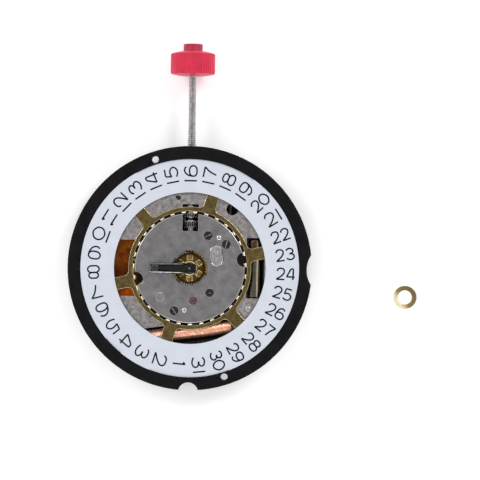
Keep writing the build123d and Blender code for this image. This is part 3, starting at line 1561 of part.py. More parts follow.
# Stem: pilot, square, groove for the setting lever, shank and thread
groove_middle = lever_pivot_place[1] - crown_travel / 2
groove_start = groove_middle - stem_groove_width / 2
groove_end = groove_middle + stem_groove_width / 2
square_start = stem_pilot_tip + stem_pilot_length
thread_turns = int((stem_thread_end - stem_thread_start) / stem_thread_pitch)
thread_root = stem_thread_radius - stem_thread_depth
stem_lengths = (
    (stem_pilot_tip, square_start, stem_pilot_radius),
    (stem_square_end, groove_start, stem_radius),
    (groove_start, groove_end, stem_groove_radius),
    (groove_end, stem_thread_start, stem_radius),
)
with BuildPart() as stem:
    for start, end, radius in stem_lengths:
        with BuildSketch(Plane.XZ.offset(-start)):
            with Locations((0, stem_axis)):
                Circle(radius)
        extrude(amount=-(end - start))
    with BuildSketch(Plane.XZ.offset(-square_start)):
        with Locations((0, stem_axis)):
            Rectangle(stem_square, stem_square)
    extrude(amount=-(stem_square_end - square_start))
    with BuildSketch(Plane(origin=(0, 0, stem_axis), x_dir=(1, 0, 0), z_dir=(0, 0, 1))):
        thread_profile = [(0, stem_thread_start)]
        for ridge in range(thread_turns):
            foot = stem_thread_start + ridge * stem_thread_pitch
            thread_profile.append((thread_root, foot))
            thread_profile.append((stem_thread_radius, foot + stem_thread_pitch / 2))
        thread_end = stem_thread_start + thread_turns * stem_thread_pitch
        thread_profile.append((thread_root, thread_end))
        thread_profile.append((0, thread_end))
        with BuildLine():
            Polyline(*thread_profile, close=True)
        make_face()
    revolve(axis=Axis(origin=(0, 0, stem_axis), direction=(0, 1, 0)))
stem.part.label = "stem"

# Moulded crown with a fluted rim and a round cap on its outer end
crown_end = crown_foot + crown_length
with BuildPart() as crown:
    with BuildSketch(Plane(origin=(0, 0, stem_axis), x_dir=(1, 0, 0), z_dir=(0, 0, 1))) as crown_profile:
        with BuildLine():
            outer_foot = (crown_radius, crown_foot + crown_foot_dome)
            outer_end = (crown_radius, crown_end - crown_dome)
            Line((0, crown_foot), (crown_cap_radius, crown_foot))
            ThreePointArc(
                (crown_cap_radius, crown_foot),
                ((crown_cap_radius + crown_radius) / 2, crown_foot + crown_foot_dome / 3),
                outer_foot,
            )
            Line(outer_foot, outer_end)
            ThreePointArc(
                outer_end,
                ((crown_cap_radius + crown_radius) / 2, crown_end - crown_dome / 3),
                (crown_cap_radius, crown_end),
            )
            Line((crown_cap_radius, crown_end), (0, crown_end))
            Line((0, crown_end), (0, crown_foot))
        make_face()
        fillet(
            crown_profile.vertices().filter_by(lambda v: v.X > crown_radius - crown_edge_fillet),
            radius=crown_edge_fillet,
        )
    revolve(axis=Axis(origin=(0, 0, stem_axis), direction=(0, 1, 0)))
    with BuildSketch(Plane.XZ.offset(-crown_foot + overrun)):
        with Locations((0, stem_axis)):
            with PolarLocations(crown_radius + crown_flute_radius / 2, crown_flutes):
                Circle(crown_flute_radius)
    extrude(amount=-(crown_length + 2 * overrun), mode=Mode.SUBTRACT)
    with BuildSketch(Plane.XZ.offset(-crown_end + crown_dome)):
        with Locations((0, stem_axis)):
            Circle(crown_cap_radius)
    extrude(amount=-(crown_cap_length + crown_dome))
    fillet(crown.edges().group_by(Axis.Y)[-1], radius=crown_edge_fillet / 2)
    with BuildSketch(Plane.XZ.offset(-crown_foot + overrun)):
        with Locations((0, stem_axis)):
            Circle(stem_thread_radius + crown_thread_clearance)
    extrude(amount=-(stem_thread_end - crown_foot + overrun), mode=Mode.SUBTRACT)
crown.part.label = "crown"

# Setting lever: its nose lies in the groove of the stem
lever_rest_swing = degrees(asin(crown_travel / 2 / lever_arm_length))
nose_angle = 180 + lever_rest_swing
nose_end = (
    lever_pivot_place[0] + polar(lever_arm_length, nose_angle)[0],
    lever_pivot_place[1] + polar(lever_arm_length, nose_angle)[1],
)
tail_end = (
    lever_pivot_place[0] + polar(lever_tail_length, nose_angle + lever_tail_turn)[0],
    lever_pivot_place[1] + polar(lever_tail_length, nose_angle + lever_tail_turn)[1],
)
lever_arms = strip(
    (nose_end, lever_pivot_place), lever_nose_width, lever_foot, lever_top, (0, lever_eye_radius)
)
lever_tail = strip(
    (lever_pivot_place, tail_end), 2 * lever_nose_width, lever_foot, lever_top, (lever_eye_radius, 0)
)
with BuildPart() as setting_lever:
    add(lever_arms)
    add(lever_tail)
    with Locations((*lever_pivot_place, lever_foot - overrun)):
        Cylinder(lever_pivot_radius + running_clearance, 2 * overrun, align=upward, mode=Mode.SUBTRACT)
setting_lever.part.label = "setting_lever"

lever_pin_shape = turned(
    (
        (lever_foot - lever_gap - lever_pin_head_height, lever_foot - lever_gap, lever_pin_head_radius),
        (lever_foot - lever_gap, plate_top, lever_pivot_radius),
    ),
    lever_pivot_place,
)
with BuildPart() as setting_lever_pin:
    add(lever_pin_shape)
    fillet(setting_lever_pin.edges().group_by(Axis.Z)[-1], radius=cover_bevel)
setting_lever_pin.part.label = "setting_lever_pin"

# Spring that holds the setting lever in its two positions
lever_spring_strip = strip(
    (spring_anchor_place, spring_bend_place, spring_tip_place),
    spring_width,
    lever_foot,
    plate_foot,
    (spring_anchor_radius, spring_width),
)
with BuildPart() as setting_lever_spring:
    add(lever_spring_strip)
    with Locations((*spring_anchor_place, lever_foot - overrun)):
        Cylinder(post_screw_shank_radius, plate_thickness, align=upward, mode=Mode.SUBTRACT)
setting_lever_spring.part.label = "setting_lever_spring"

spring_screw_set = slotted_screws(
    (spring_anchor_place,),
    post_screw_head_radius,
    lever_foot - post_screw_head_height,
    post_screw_head_height,
    post_screw_shank_radius,
    lever_thickness + lever_gap + plate_thickness / 2,
    downwards=False,
)
with BuildPart() as spring_screw:
    add(spring_screw_set)
spring_screw.part.label = "spring_screw"

# Yoke: a sliding fork that carries the sliding pinion along the stem, on two shouldered guides
yoke_middle = (yoke_edges[0] + yoke_edges[1]) / 2
yoke_width = yoke_edges[1] - yoke_edges[0]
yoke_slot_width = 2 * (yoke_guide_radius + yoke_slot_clearance)
yoke_slot_length = pinion_travel + yoke_slot_width
with BuildPart() as yoke:
    with BuildSketch(level(lever_foot)):
        with Locations((yoke_middle, (yoke_span[0] + yoke_span[1]) / 2)):
            RectangleRounded(yoke_width, yoke_span[1] - yoke_span[0], yoke_width / 4)
        with Locations((yoke_middle, (yoke_tongue_span[0] + yoke_tongue_span[1]) / 2)):
            Rectangle(
                yoke_tongue_reach - yoke_middle,
                yoke_tongue_span[1] - yoke_tongue_span[0],
                align=(Align.MIN, Align.CENTER),
            )
        for place in yoke_guide_places:
            with Locations((place[0], place[1] + pinion_travel / 2)):
                SlotOverall(yoke_slot_length, yoke_slot_width, rotation=90, mode=Mode.SUBTRACT)
    extrude(amount=lever_thickness)
yoke.part.label = "yoke"

with BuildPart() as yoke_guides:
    for place in yoke_guide_places:
        with Locations((*place, lever_foot - lever_gap - yoke_guide_head_height)):
            Cylinder(yoke_guide_head_radius, yoke_guide_head_height, align=upward)
            Cylinder(yoke_guide_radius, plate_foot + plate_thickness / 2 - lever_foot, align=upward)
yoke_guides.part.label = "yoke_guides"

# Stop lever: touches the seconds wheel when the crown is pulled
stop_foot = seconds_level
stop_arm = strip(
    (stop_tail_place, stop_pivot_place, stop_tip_place),
    stop_arm_width,
    stop_foot,
    stop_foot + stop_thickness,
    (0, 0),
)
with BuildPart() as stop_lever:
    add(stop_arm)
    with Locations((*stop_pivot_place, stop_foot)):
        Cylinder(stop_eye_radius, stop_thickness, align=upward)
    with Locations((*stop_pivot_place, stop_foot - overrun)):
        Cylinder(stop_pivot_radius + running_clearance, 2 * overrun, align=upward, mode=Mode.SUBTRACT)
stop_lever.part.label = "stop_lever"

# Check hand pressed on the seconds arbor, with a bright rivet near its long end
with BuildPart() as check_hand:
    with BuildSketch(level(check_hand_low)):
        with Locations(((check_hand_tail - check_hand_length) / 2, 0)):
            RectangleRounded(check_hand_length + check_hand_tail, check_hand_width, check_hand_width / 4)
    extrude(amount=check_hand_thickness)
    chamfer(check_hand.edges().group_by(Axis.Z)[-1], length=check_hand_bevel)
    with Locations((0, 0, check_hand_low)):
        Cylinder(check_hand_hub_radius, check_hand_hub_height, align=upward)
    with Locations((0, 0, check_hand_low - overrun)):
        Cylinder(seconds_seat_radius + check_hand_fit, 2 * overrun, align=upward, mode=Mode.SUBTRACT)
    with Locations((-check_rivet_distance, 0, check_hand_low - overrun)):
        Cylinder(check_rivet_radius / 2, 2 * overrun, align=upward, mode=Mode.SUBTRACT)
check_hand.part.label = "check_hand"

with BuildPart() as check_hand_rivet:
    with Locations((-check_rivet_distance, 0, check_hand_low)):
        Cylinder(check_rivet_radius / 2, check_rivet_height, align=upward)
    with Locations((-check_rivet_distance, 0, check_hand_low + check_hand_thickness)):
        Cylinder(check_rivet_radius, check_rivet_height - check_hand_thickness, align=upward)
    fillet(check_hand_rivet.edges().group_by(Axis.Z)[-1], radius=check_hand_bevel)
check_hand_rivet.part.label = "check_hand_rivet"

# Bowed dial washer, lying loose beside the movement at the level of the crown's lowest point
floor_height = stem_axis - crown_radius
bow_centre = floor_height + washer_bow_radius
bow_side = washer_outer_radius + overrun
with BuildPart() as dial_washer:
    with BuildSketch(Plane(origin=(*washer_place, floor_height)).rotated((0, 0, washer_bow_turn))):
        Circle(washer_outer_radius)
        Circle(washer_bore_radius, mode=Mode.SUBTRACT)
    extrude(amount=washer_outer_radius)
    washer_plane = Plane(origin=(*washer_place, bow_centre)).rotated((0, 0, washer_bow_turn))
    with BuildSketch(washer_plane.rotated((90, 0, 0))):
        Circle(washer_bow_radius)
        Circle(washer_bow_radius - washer_thickness, mode=Mode.SUBTRACT)
    extrude(amount=bow_side, both=True, mode=Mode.INTERSECT)
dial_washer.part.label = "dial_washer"

os.makedirs("parts", exist_ok=True)
pieces = (
    casing_ring,
    main_plate,
    cover_plate,
    cover_screws,
    cover_pins,
    wheel_spring,
    plate_jewels,
    bridge_jewels,
    centre_bush,
    hour_wheel,
    cannon_pinion,
    minute_wheel,
    setting_wheel,
    date_driving_wheel,
    date_finger,
    date_wheel,
    date_disc,
    date_jumper,
    centre_wheel,
    third_wheel,
    seconds_wheel,
    intermediate_wheel,
    rotor,
    stator,
    coil_core,
    coil_flanges,
    coil_winding,
    coil_guard,
    keyless_shield,
    battery_can,
    battery_gasket,
    battery_cap,
    negative_contact,
    insulating_foil,
    battery_clamp,
    clamp_screws,
    circuit_board,
    module_cover,
    module_screws,
    quartz_crystal,
    crystal_leads,
    circuit_chip,
    trim_capacitor,
    train_bridge,
    bridge_screws,
    sliding_pinion,
    stem,
    crown,
    setting_lever,
    setting_lever_pin,
    setting_lever_spring,
    spring_screw,
    yoke,
    yoke_guides,
    stop_lever,
    check_hand,
    check_hand_rivet,
    dial_washer,
)
for piece in pieces:
    export_step(piece.part, f"parts/{piece.part.label}.step")
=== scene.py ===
import json
import math
from collections import namedtuple

import bpy
from mathutils import Matrix, Vector


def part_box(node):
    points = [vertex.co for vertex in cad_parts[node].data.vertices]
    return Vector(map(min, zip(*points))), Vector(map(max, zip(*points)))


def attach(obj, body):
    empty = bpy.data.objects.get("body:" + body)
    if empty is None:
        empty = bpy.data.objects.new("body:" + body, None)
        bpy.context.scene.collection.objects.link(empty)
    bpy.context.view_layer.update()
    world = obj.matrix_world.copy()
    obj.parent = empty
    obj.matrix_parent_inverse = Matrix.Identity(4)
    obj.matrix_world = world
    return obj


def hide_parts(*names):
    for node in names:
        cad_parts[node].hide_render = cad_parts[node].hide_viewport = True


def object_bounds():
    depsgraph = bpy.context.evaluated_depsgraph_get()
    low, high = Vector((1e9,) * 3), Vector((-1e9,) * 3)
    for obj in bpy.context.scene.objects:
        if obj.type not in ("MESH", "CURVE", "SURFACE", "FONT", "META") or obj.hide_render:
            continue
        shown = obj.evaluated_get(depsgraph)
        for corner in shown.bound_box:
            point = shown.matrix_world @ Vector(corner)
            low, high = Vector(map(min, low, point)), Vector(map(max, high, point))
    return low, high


# Looks of a quartz watch movement with a date ring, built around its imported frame, in metres.

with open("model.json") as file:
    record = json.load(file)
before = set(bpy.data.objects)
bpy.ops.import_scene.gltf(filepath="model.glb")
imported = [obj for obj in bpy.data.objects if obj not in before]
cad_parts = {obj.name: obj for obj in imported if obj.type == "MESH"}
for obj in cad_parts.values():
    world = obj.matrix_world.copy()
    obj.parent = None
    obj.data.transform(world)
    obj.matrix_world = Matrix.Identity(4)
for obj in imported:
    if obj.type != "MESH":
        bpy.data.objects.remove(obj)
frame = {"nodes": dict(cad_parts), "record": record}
cad_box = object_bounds()
bpy.ops.object.select_all(action="DESELECT")

MILLIMETRE = 0.001
MICRON = 0.000001
# A stretch so great that its direction counts for nothing
FLATTENING = 1000.0

# Camera: straight down on the dial side, turned a little as the photograph is
PHOTO_SIZE = 480
MILLIMETRES_PER_PIXEL = 0.10466
HANDS_PIXEL = (189.7, 268.2)
CAMERA_ROLL = 0.85
CAMERA_LENS = 180.0
CAMERA_SENSOR = 36.0
CLIP_FACTOR = 100


def shade_tree(name, metallic, roughness):
    """A new material at these values; returns it with its node tree and its Principled shader."""
    material = bpy.data.materials.new(name)
    material.use_nodes = True
    tree = material.node_tree
    shader = tree.nodes["Principled BSDF"]
    shader.inputs["Metallic"].default_value = metallic
    shader.inputs["Roughness"].default_value = roughness
    return material, tree, shader


def place_coordinates(tree, centre=(0, 0, 0), turn=(0, 0, 0), stretch=(1, 1, 1)):
    """Object coordinates, centred, turned and stretched by a Mapping node."""
    coordinates = tree.nodes.new("ShaderNodeTexCoord")
    mapping = tree.nodes.new("ShaderNodeMapping")
    mapping.vector_type = "TEXTURE"
    mapping.inputs["Location"].default_value = centre
    mapping.inputs["Rotation"].default_value = turn
    mapping.inputs["Scale"].default_value = stretch
    tree.links.new(coordinates.outputs["Object"], mapping.inputs["Vector"])
    return mapping.outputs["Vector"]


def grain(tree, vector, size, detail=4.0, roughness=0.55, distortion=0.0):
    """A noise pattern whose blotches are about the given size in metres."""
    noise = tree.nodes.new("ShaderNodeTexNoise")
    noise.inputs["Scale"].default_value = 1 / size
    noise.inputs["Detail"].default_value = detail
    noise.inputs["Roughness"].default_value = roughness
    noise.inputs["Distortion"].default_value = distortion
    tree.links.new(vector, noise.inputs["Vector"])
    return noise.outputs["Fac"]


def pits(tree, vector, size):
    """The distance to the nearest of scattered points about one size apart."""
    cells = tree.nodes.new("ShaderNodeTexVoronoi")
    cells.inputs["Scale"].default_value = 1 / size
    tree.links.new(vector, cells.inputs["Vector"])
    return cells.outputs["Distance"]


def ramp(tree, value, stops):
    """A colour ramp over a value; each stop is a position and a colour."""
    node = tree.nodes.new("ShaderNodeValToRGB")
    points = node.color_ramp.elements
    while len(points) < len(stops):
        points.new(0.5)
    for point, (position, colour) in zip(points, stops):
        point.position = position
        point.color = (*colour, 1)
    tree.links.new(value, node.inputs["Fac"])
    return node.outputs["Color"]


def spread(tree, value, low, high, start=0.3, end=0.7):
    """A value moved from one range to another."""
    node = tree.nodes.new("ShaderNodeMapRange")
    node.inputs["From Min"].default_value = start
    node.inputs["From Max"].default_value = end
    node.inputs["To Min"].default_value = low
    node.inputs["To Max"].default_value = high
    tree.links.new(value, node.inputs["Value"])
    return node.outputs["Result"]


def relief(tree, shader, *layers):
    """Bump layers on a shader, each a height value and its depth in metres."""
    normal = None
    for height, depth in layers:
        bump = tree.nodes.new("ShaderNodeBump")
        bump.inputs["Distance"].default_value = depth
        tree.links.new(height, bump.inputs["Height"])
        if normal is not None:
            tree.links.new(normal, bump.inputs["Normal"])
        normal = bump.outputs["Normal"]
    tree.links.new(normal, shader.inputs["Normal"])


Look = namedtuple(
    "Look", "dark light metallic roughness patch grain depth pit gleam", defaults=(None, 0.5)
)

# Mottled finishes: the dark and the light colour of the patches, metallic, roughness, the size of the
# patches and of the grain in millimetres, and the grain's depth in micrometres; a few have pits of that
# many millimetres too, or a weaker gleam than usual
looks = {
    "black_moulding": Look(
        (0.0025, 0.0025, 0.003), (0.006, 0.006, 0.0075), 0.0, 0.36, 1.2, 0.06, 3, gleam=0.14
    ),
    "nickel_plating": Look((0.24, 0.22, 0.22), (0.56, 0.535, 0.52), 0.92, 0.34, 0.45, 0.07, 9, pit=0.16),
    "lapped_steel": Look((0.26, 0.248, 0.25), (0.40, 0.385, 0.388), 0.95, 0.3, 1.1, 0.05, 3, pit=0.35),
    "dark_screw": Look((0.35, 0.35, 0.35), (0.75, 0.75, 0.76), 1.0, 0.28, 0.2, 0.03, 2),
    "polished_steel": Look((0.62, 0.62, 0.63), (0.82, 0.82, 0.83), 1.0, 0.16, 0.3, 0.04, 1),
    "spring_steel": Look((0.50, 0.50, 0.50), (0.78, 0.77, 0.76), 1.0, 0.2, 0.25, 0.08, 3),
    # steel darkened as painted shade for the levers deep in the keyless window and under a hole in the
    # plate; on the screws' eased edges it is their blackening
    "blackened_and_painted_shade_steel": Look((0.04, 0.04, 0.04), (0.10, 0.10, 0.095), 1.0, 0.2, 0.3, 0.05, 2),
    "ruby": Look((0.035, 0.007, 0.012), (0.10, 0.02, 0.034), 0.0, 0.12, 0.25, 0.05, 1),
    "turned_brass": Look((0.50, 0.34, 0.10), (0.72, 0.52, 0.19), 1.0, 0.28, 0.3, 0.05, 2),
    "gilt_brass": Look((0.22, 0.135, 0.035), (0.50, 0.34, 0.12), 1.0, 0.22, 0.35, 0.05, 3),
    "washer_gilt": Look((0.84, 0.70, 0.40), (0.97, 0.88, 0.64), 0.4, 0.24, 0.35, 0.05, 3),
    "wheel_brass": Look((0.46, 0.34, 0.13), (0.68, 0.53, 0.24), 1.0, 0.26, 0.4, 0.05, 2),
    "arbor_steel": Look((0.42, 0.42, 0.43), (0.62, 0.62, 0.64), 1.0, 0.22, 0.2, 0.04, 1),
    "date_brass": Look((0.135, 0.092, 0.03), (0.27, 0.20, 0.075), 0.95, 0.28, 0.5, 0.05, 3),
    "white_lacquer": Look((0.52, 0.55, 0.615), (0.55, 0.58, 0.645), 0.0, 0.5, 1.5, 0.05, 1),
    "date_ink": Look((0.006, 0.007, 0.016), (0.011, 0.012, 0.024), 0.0, 0.45, 0.3, 0.03, 1, gleam=0.08),
    "brown_moulding": Look((0.07, 0.02, 0.01), (0.13, 0.04, 0.02), 0.0, 0.4, 0.3, 0.05, 2),
    "magnet_finish": Look((0.05, 0.05, 0.055), (0.10, 0.10, 0.105), 0.8, 0.42, 0.1, 0.03, 3),
    "soft_iron": Look((0.22, 0.215, 0.21), (0.40, 0.39, 0.37), 0.95, 0.4, 0.4, 0.06, 3),
    "amber_moulding": Look((0.05, 0.018, 0.008), (0.10, 0.035, 0.015), 0.0, 0.35, 0.3, 0.05, 2),
    "battery_steel": Look((0.50, 0.50, 0.505), (0.72, 0.72, 0.72), 1.0, 0.3, 1.5, 0.06, 2),
    "nylon_seal": Look((0.02, 0.02, 0.022), (0.05, 0.05, 0.052), 0.0, 0.4, 0.3, 0.05, 2),
    "green_laminate": Look((0.012, 0.07, 0.035), (0.025, 0.12, 0.06), 0.0, 0.35, 0.6, 0.08, 4),
    "gilt_sheet": Look((0.46, 0.36, 0.16), (0.66, 0.54, 0.28), 1.0, 0.3, 0.8, 0.06, 2),
    "tinned_wire": Look((0.55, 0.55, 0.55), (0.78, 0.78, 0.78), 1.0, 0.26, 0.2, 0.04, 2),
    "potting_drop": Look((0.006, 0.006, 0.006), (0.014, 0.014, 0.014), 0.0, 0.22, 0.5, 0.08, 4),
    "ceramic_body": Look((0.36, 0.25, 0.14), (0.52, 0.39, 0.25), 0.0, 0.55, 0.2, 0.05, 3),
    "stem_steel": Look((0.42, 0.41, 0.42), (0.72, 0.71, 0.71), 1.0, 0.28, 0.25, 0.05, 3),
    "red_moulding": Look((0.56, 0.015, 0.05), (0.65, 0.021, 0.068), 0.0, 0.4, 1.2, 0.08, 4, gleam=0.3),
    "black_lacquer": Look(
        (0.004, 0.004, 0.004), (0.009, 0.009, 0.009), 0.0, 0.18, 0.6, 0.05, 1, gleam=0.35
    ),
    # Rubbed and ground edges, the painted highlight on the hand's edges, the tooth crests and the rivet
    "burnished_brass": Look((0.72, 0.58, 0.32), (0.95, 0.84, 0.58), 1.0, 0.16, 0.25, 0.04, 1),
    "hour_wheel_edge": Look((0.50, 0.40, 0.18), (0.95, 0.84, 0.58), 1.0, 0.16, 0.4, 0.04, 1),
    "crest_brass": Look((0.90, 0.80, 0.58), (0.99, 0.96, 0.84), 0.75, 0.3, 0.25, 0.04, 1),
    "burnished_steel": Look((0.62, 0.61, 0.61), (0.92, 0.91, 0.91), 1.0, 0.16, 0.25, 0.04, 1),
    "hand_edge_painted_highlight": Look((0.13, 0.14, 0.14), (0.42, 0.43, 0.43), 1.0, 0.2, 0.25, 0.04, 1),
    "cover_rim_steel": Look((0.30, 0.285, 0.285), (0.62, 0.60, 0.60), 1.0, 0.22, 0.6, 0.04, 1),
    "rivet_steel": Look((0.75, 0.75, 0.75), (0.95, 0.95, 0.95), 1.0, 0.3, 0.2, 0.04, 1),
    "jewel_rim": Look((0.08, 0.025, 0.04), (0.42, 0.25, 0.29), 0.6, 0.15, 0.5, 0.04, 1),
    "bare_disc_edge": Look((0.05, 0.05, 0.055), (0.11, 0.11, 0.12), 0.6, 0.35, 0.25, 0.04, 1),
}
PATCH_CONTRAST = (0.35, 0.65)
GLOSS_SHARES = (0.8, 1.3)


def mottled(name):
    """A finish with patches of two colours, a varying gloss and a fine grain."""
    look = looks[name]
    material, tree, shader = shade_tree(name, look.metallic, look.roughness)
    shader.inputs["Specular IOR Level"].default_value = look.gleam
    vector = place_coordinates(tree)
    patches = grain(tree, vector, look.patch * MILLIMETRE, detail=6.0, roughness=0.65)
    colour = ramp(tree, patches, tuple(zip(PATCH_CONTRAST, (look.dark, look.light))))
    tree.links.new(colour, shader.inputs["Base Color"])
    fine_grain = grain(tree, vector, look.grain * MILLIMETRE, detail=3.0)
    gloss = spread(tree, fine_grain, *(look.roughness * share for share in GLOSS_SHARES))
    tree.links.new(gloss, shader.inputs["Roughness"])
    layers = [(fine_grain, look.depth * MICRON)]
    if look.pit is not None:
        layers.append((pits(tree, vector, look.pit * MILLIMETRE), look.depth * MICRON))
    relief(tree, shader, *layers)
    return material


def distance_along(tree, axis):
    """Places along X, Y, Z or a heading in degrees, or for R the distance from the hands' axis."""
    if axis == "R":
        flat = place_coordinates(tree, stretch=(1, 1, FLATTENING))
        length = tree.nodes.new("ShaderNodeVectorMath")
        length.operation = "LENGTH"
        tree.links.new(flat, length.inputs[0])
        return length.outputs["Value"]
    heading = 0 if axis in ("X", "Y", "Z") else math.radians(axis)
    parts = tree.nodes.new("ShaderNodeSeparateXYZ")
    tree.links.new(place_coordinates(tree, turn=(0, 0, heading)), parts.inputs["Vector"])
    return parts.outputs[axis if axis in ("Y", "Z") else "X"]


def tint_along(material, axis, stops, above=None):
    """Multiplies the base colour by tints along an axis; each stop is a place in millimetres and a tint.

    With `above` the tint is laid only above that height, in millimetres.
    """
    tree = material.node_tree
    shader = tree.nodes["Principled BSDF"]
    colour = shader.inputs["Base Color"].links[0].from_socket
    first = stops[0][0] * MILLIMETRE
    last = stops[-1][0] * MILLIMETRE
    share = spread(tree, distance_along(tree, axis), 0, 1, first, last)
    tints = [((place * MILLIMETRE - first) / (last - first), tint) for place, tint in stops]
    mix = tree.nodes.new("ShaderNodeMix")
    mix.data_type = "RGBA"
    mix.blend_type = "MULTIPLY"
    mix.inputs["Factor"].default_value = 1
    if above is not None:
        start = above * MILLIMETRE
        cover = spread(tree, distance_along(tree, "Z"), 0, 1, start, start + MICRON)
        tree.links.new(cover, mix.inputs["Factor"])
    tree.links.new(colour, mix.inputs["A"])
    tree.links.new(ramp(tree, share, tints), mix.inputs["B"])
    tree.links.new(mix.outputs["Result"], shader.inputs["Base Color"])


COIL_TILT = math.radians(8.3)
STREAK_TURN = 0.9
WINDING_PITCH = 0.05 * MILLIMETRE
# A wave texture's bands repeat at this length over its scale
BAND_LENGTH = math.pi / 10


def copper_winding():
    """Enamelled copper wire, laid turn beside turn round the tilted core."""
    material, tree, shader = shade_tree("copper_winding", 0.75, 0.3)
    low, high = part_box("coil_winding")
    vector = place_coordinates(tree, centre=(low + high) / 2, turn=(0, 0, COIL_TILT))
    turns = tree.nodes.new("ShaderNodeTexWave")
    turns.wave_type = "BANDS"
    turns.bands_direction = "X"
    turns.wave_profile = "SIN"
    turns.inputs["Scale"].default_value = BAND_LENGTH / WINDING_PITCH
    turns.inputs["Distortion"].default_value = 1.4
    turns.inputs["Detail"].default_value = 2.0
    turns.inputs["Detail Scale"].default_value = 0.6
    tree.links.new(vector, turns.inputs["Vector"])
    stretched = place_coordinates(
        tree, centre=(low + high) / 2, turn=(0, 0, COIL_TILT + STREAK_TURN), stretch=(1, 6, 1)
    )
    streaks = grain(tree, stretched, 0.12 * MILLIMETRE, detail=5.0)
    colour = ramp(
        tree, streaks,
        ((0.3, (0.48, 0.17, 0.08)), (0.5, (0.88, 0.43, 0.29)), (0.7, (1, 0.72, 0.58))),
    )
    tree.links.new(colour, shader.inputs["Base Color"])
    tree.links.new(spread(tree, streaks, 0.22, 0.42), shader.inputs["Roughness"])
    relief(tree, shader, (turns.outputs["Fac"], 8 * MICRON), (streaks, 20 * MICRON))
    return material


def amber_foil():
    """Thin amber foil with darker stains where it lies on what is under it."""
    material, tree, shader = shade_tree("amber_foil", 0.0, 0.3)
    shader.inputs["Specular IOR Level"].default_value = 0.06
    vector = place_coordinates(tree)
    stains = grain(tree, vector, 1.3 * MILLIMETRE, detail=5.0, distortion=0.6)
    colour = ramp(
        tree, stains,
        ((0.32, (0.15, 0.022, 0.001)), (0.5, (0.26, 0.05, 0.0015)), (0.68, (0.46, 0.12, 0.004))),
    )
    tree.links.new(colour, shader.inputs["Base Color"])
    tree.links.new(spread(tree, stains, 0.18, 0.42), shader.inputs["Roughness"])
    relief(tree, shader, (grain(tree, vector, 0.6 * MILLIMETRE), 30 * MICRON))
    return material


def crystal_can():
    """Drawn metal can of the crystal, with faint lengthwise draw marks."""
    material, tree, shader = shade_tree("crystal_can", 1.0, 0.2)
    vector = place_coordinates(tree, stretch=(1, 12, 1))
    marks = grain(tree, vector, 0.08 * MILLIMETRE, detail=4.0)
    colour = ramp(tree, marks, ((0.35, (0.40, 0.37, 0.31)), (0.65, (0.95, 0.90, 0.80))))
    tree.links.new(colour, shader.inputs["Base Color"])
    tree.links.new(spread(tree, marks, 0.14, 0.3), shader.inputs["Roughness"])
    relief(tree, shader, (marks, 2 * MICRON))
    return material


def bridge_nickel():
    """Nickel-plated bridge with a straight rolled grain."""
    material, tree, shader = shade_tree("bridge_nickel", 1.0, 0.3)
    vector = place_coordinates(tree, stretch=(30, 1, 1))
    marks = grain(tree, vector, 0.04 * MILLIMETRE, detail=4.0)
    colour = ramp(tree, marks, ((0.35, (0.40, 0.395, 0.40)), (0.65, (0.62, 0.61, 0.62))))
    tree.links.new(colour, shader.inputs["Base Color"])
    tree.links.new(spread(tree, marks, 0.24, 0.4), shader.inputs["Roughness"])
    relief(tree, shader, (marks, 2 * MICRON))
    return material


# Tints on some finishes, several of them painted shade and painted reflections: the axis, the stops along
# it, and the height above which the tint is laid
WHITE = (1, 1, 1)
# Tints of painted shade in the plate's wells and gaps, a brown for the hour wheel round its petals, and
# painted reflections on the crystal can
WELL_PAINTED_SHADE = (0.05, 0.045, 0.045)
GAP_PAINTED_SHADE = (0.07, 0.05, 0.045)
PETAL_SURROUND_BROWN = (0.42, 0.34, 0.28)
CAN_PAINTED_DULL_REFLECTION = (0.15, 0.15, 0.13)
CAN_PAINTED_HIGHLIGHT = (1, 0.9, 0.7)
PLATE_FACE = -0.7
WASHER_HEADING = 38


def washer_middle():
    """How far the loose washer's centre lies along its heading, in millimetres."""
    low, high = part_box("dial_washer")
    heading = math.radians(WASHER_HEADING)
    return ((low + high) / 2).dot(Vector((math.cos(heading), math.sin(heading), 0))) / MILLIMETRE


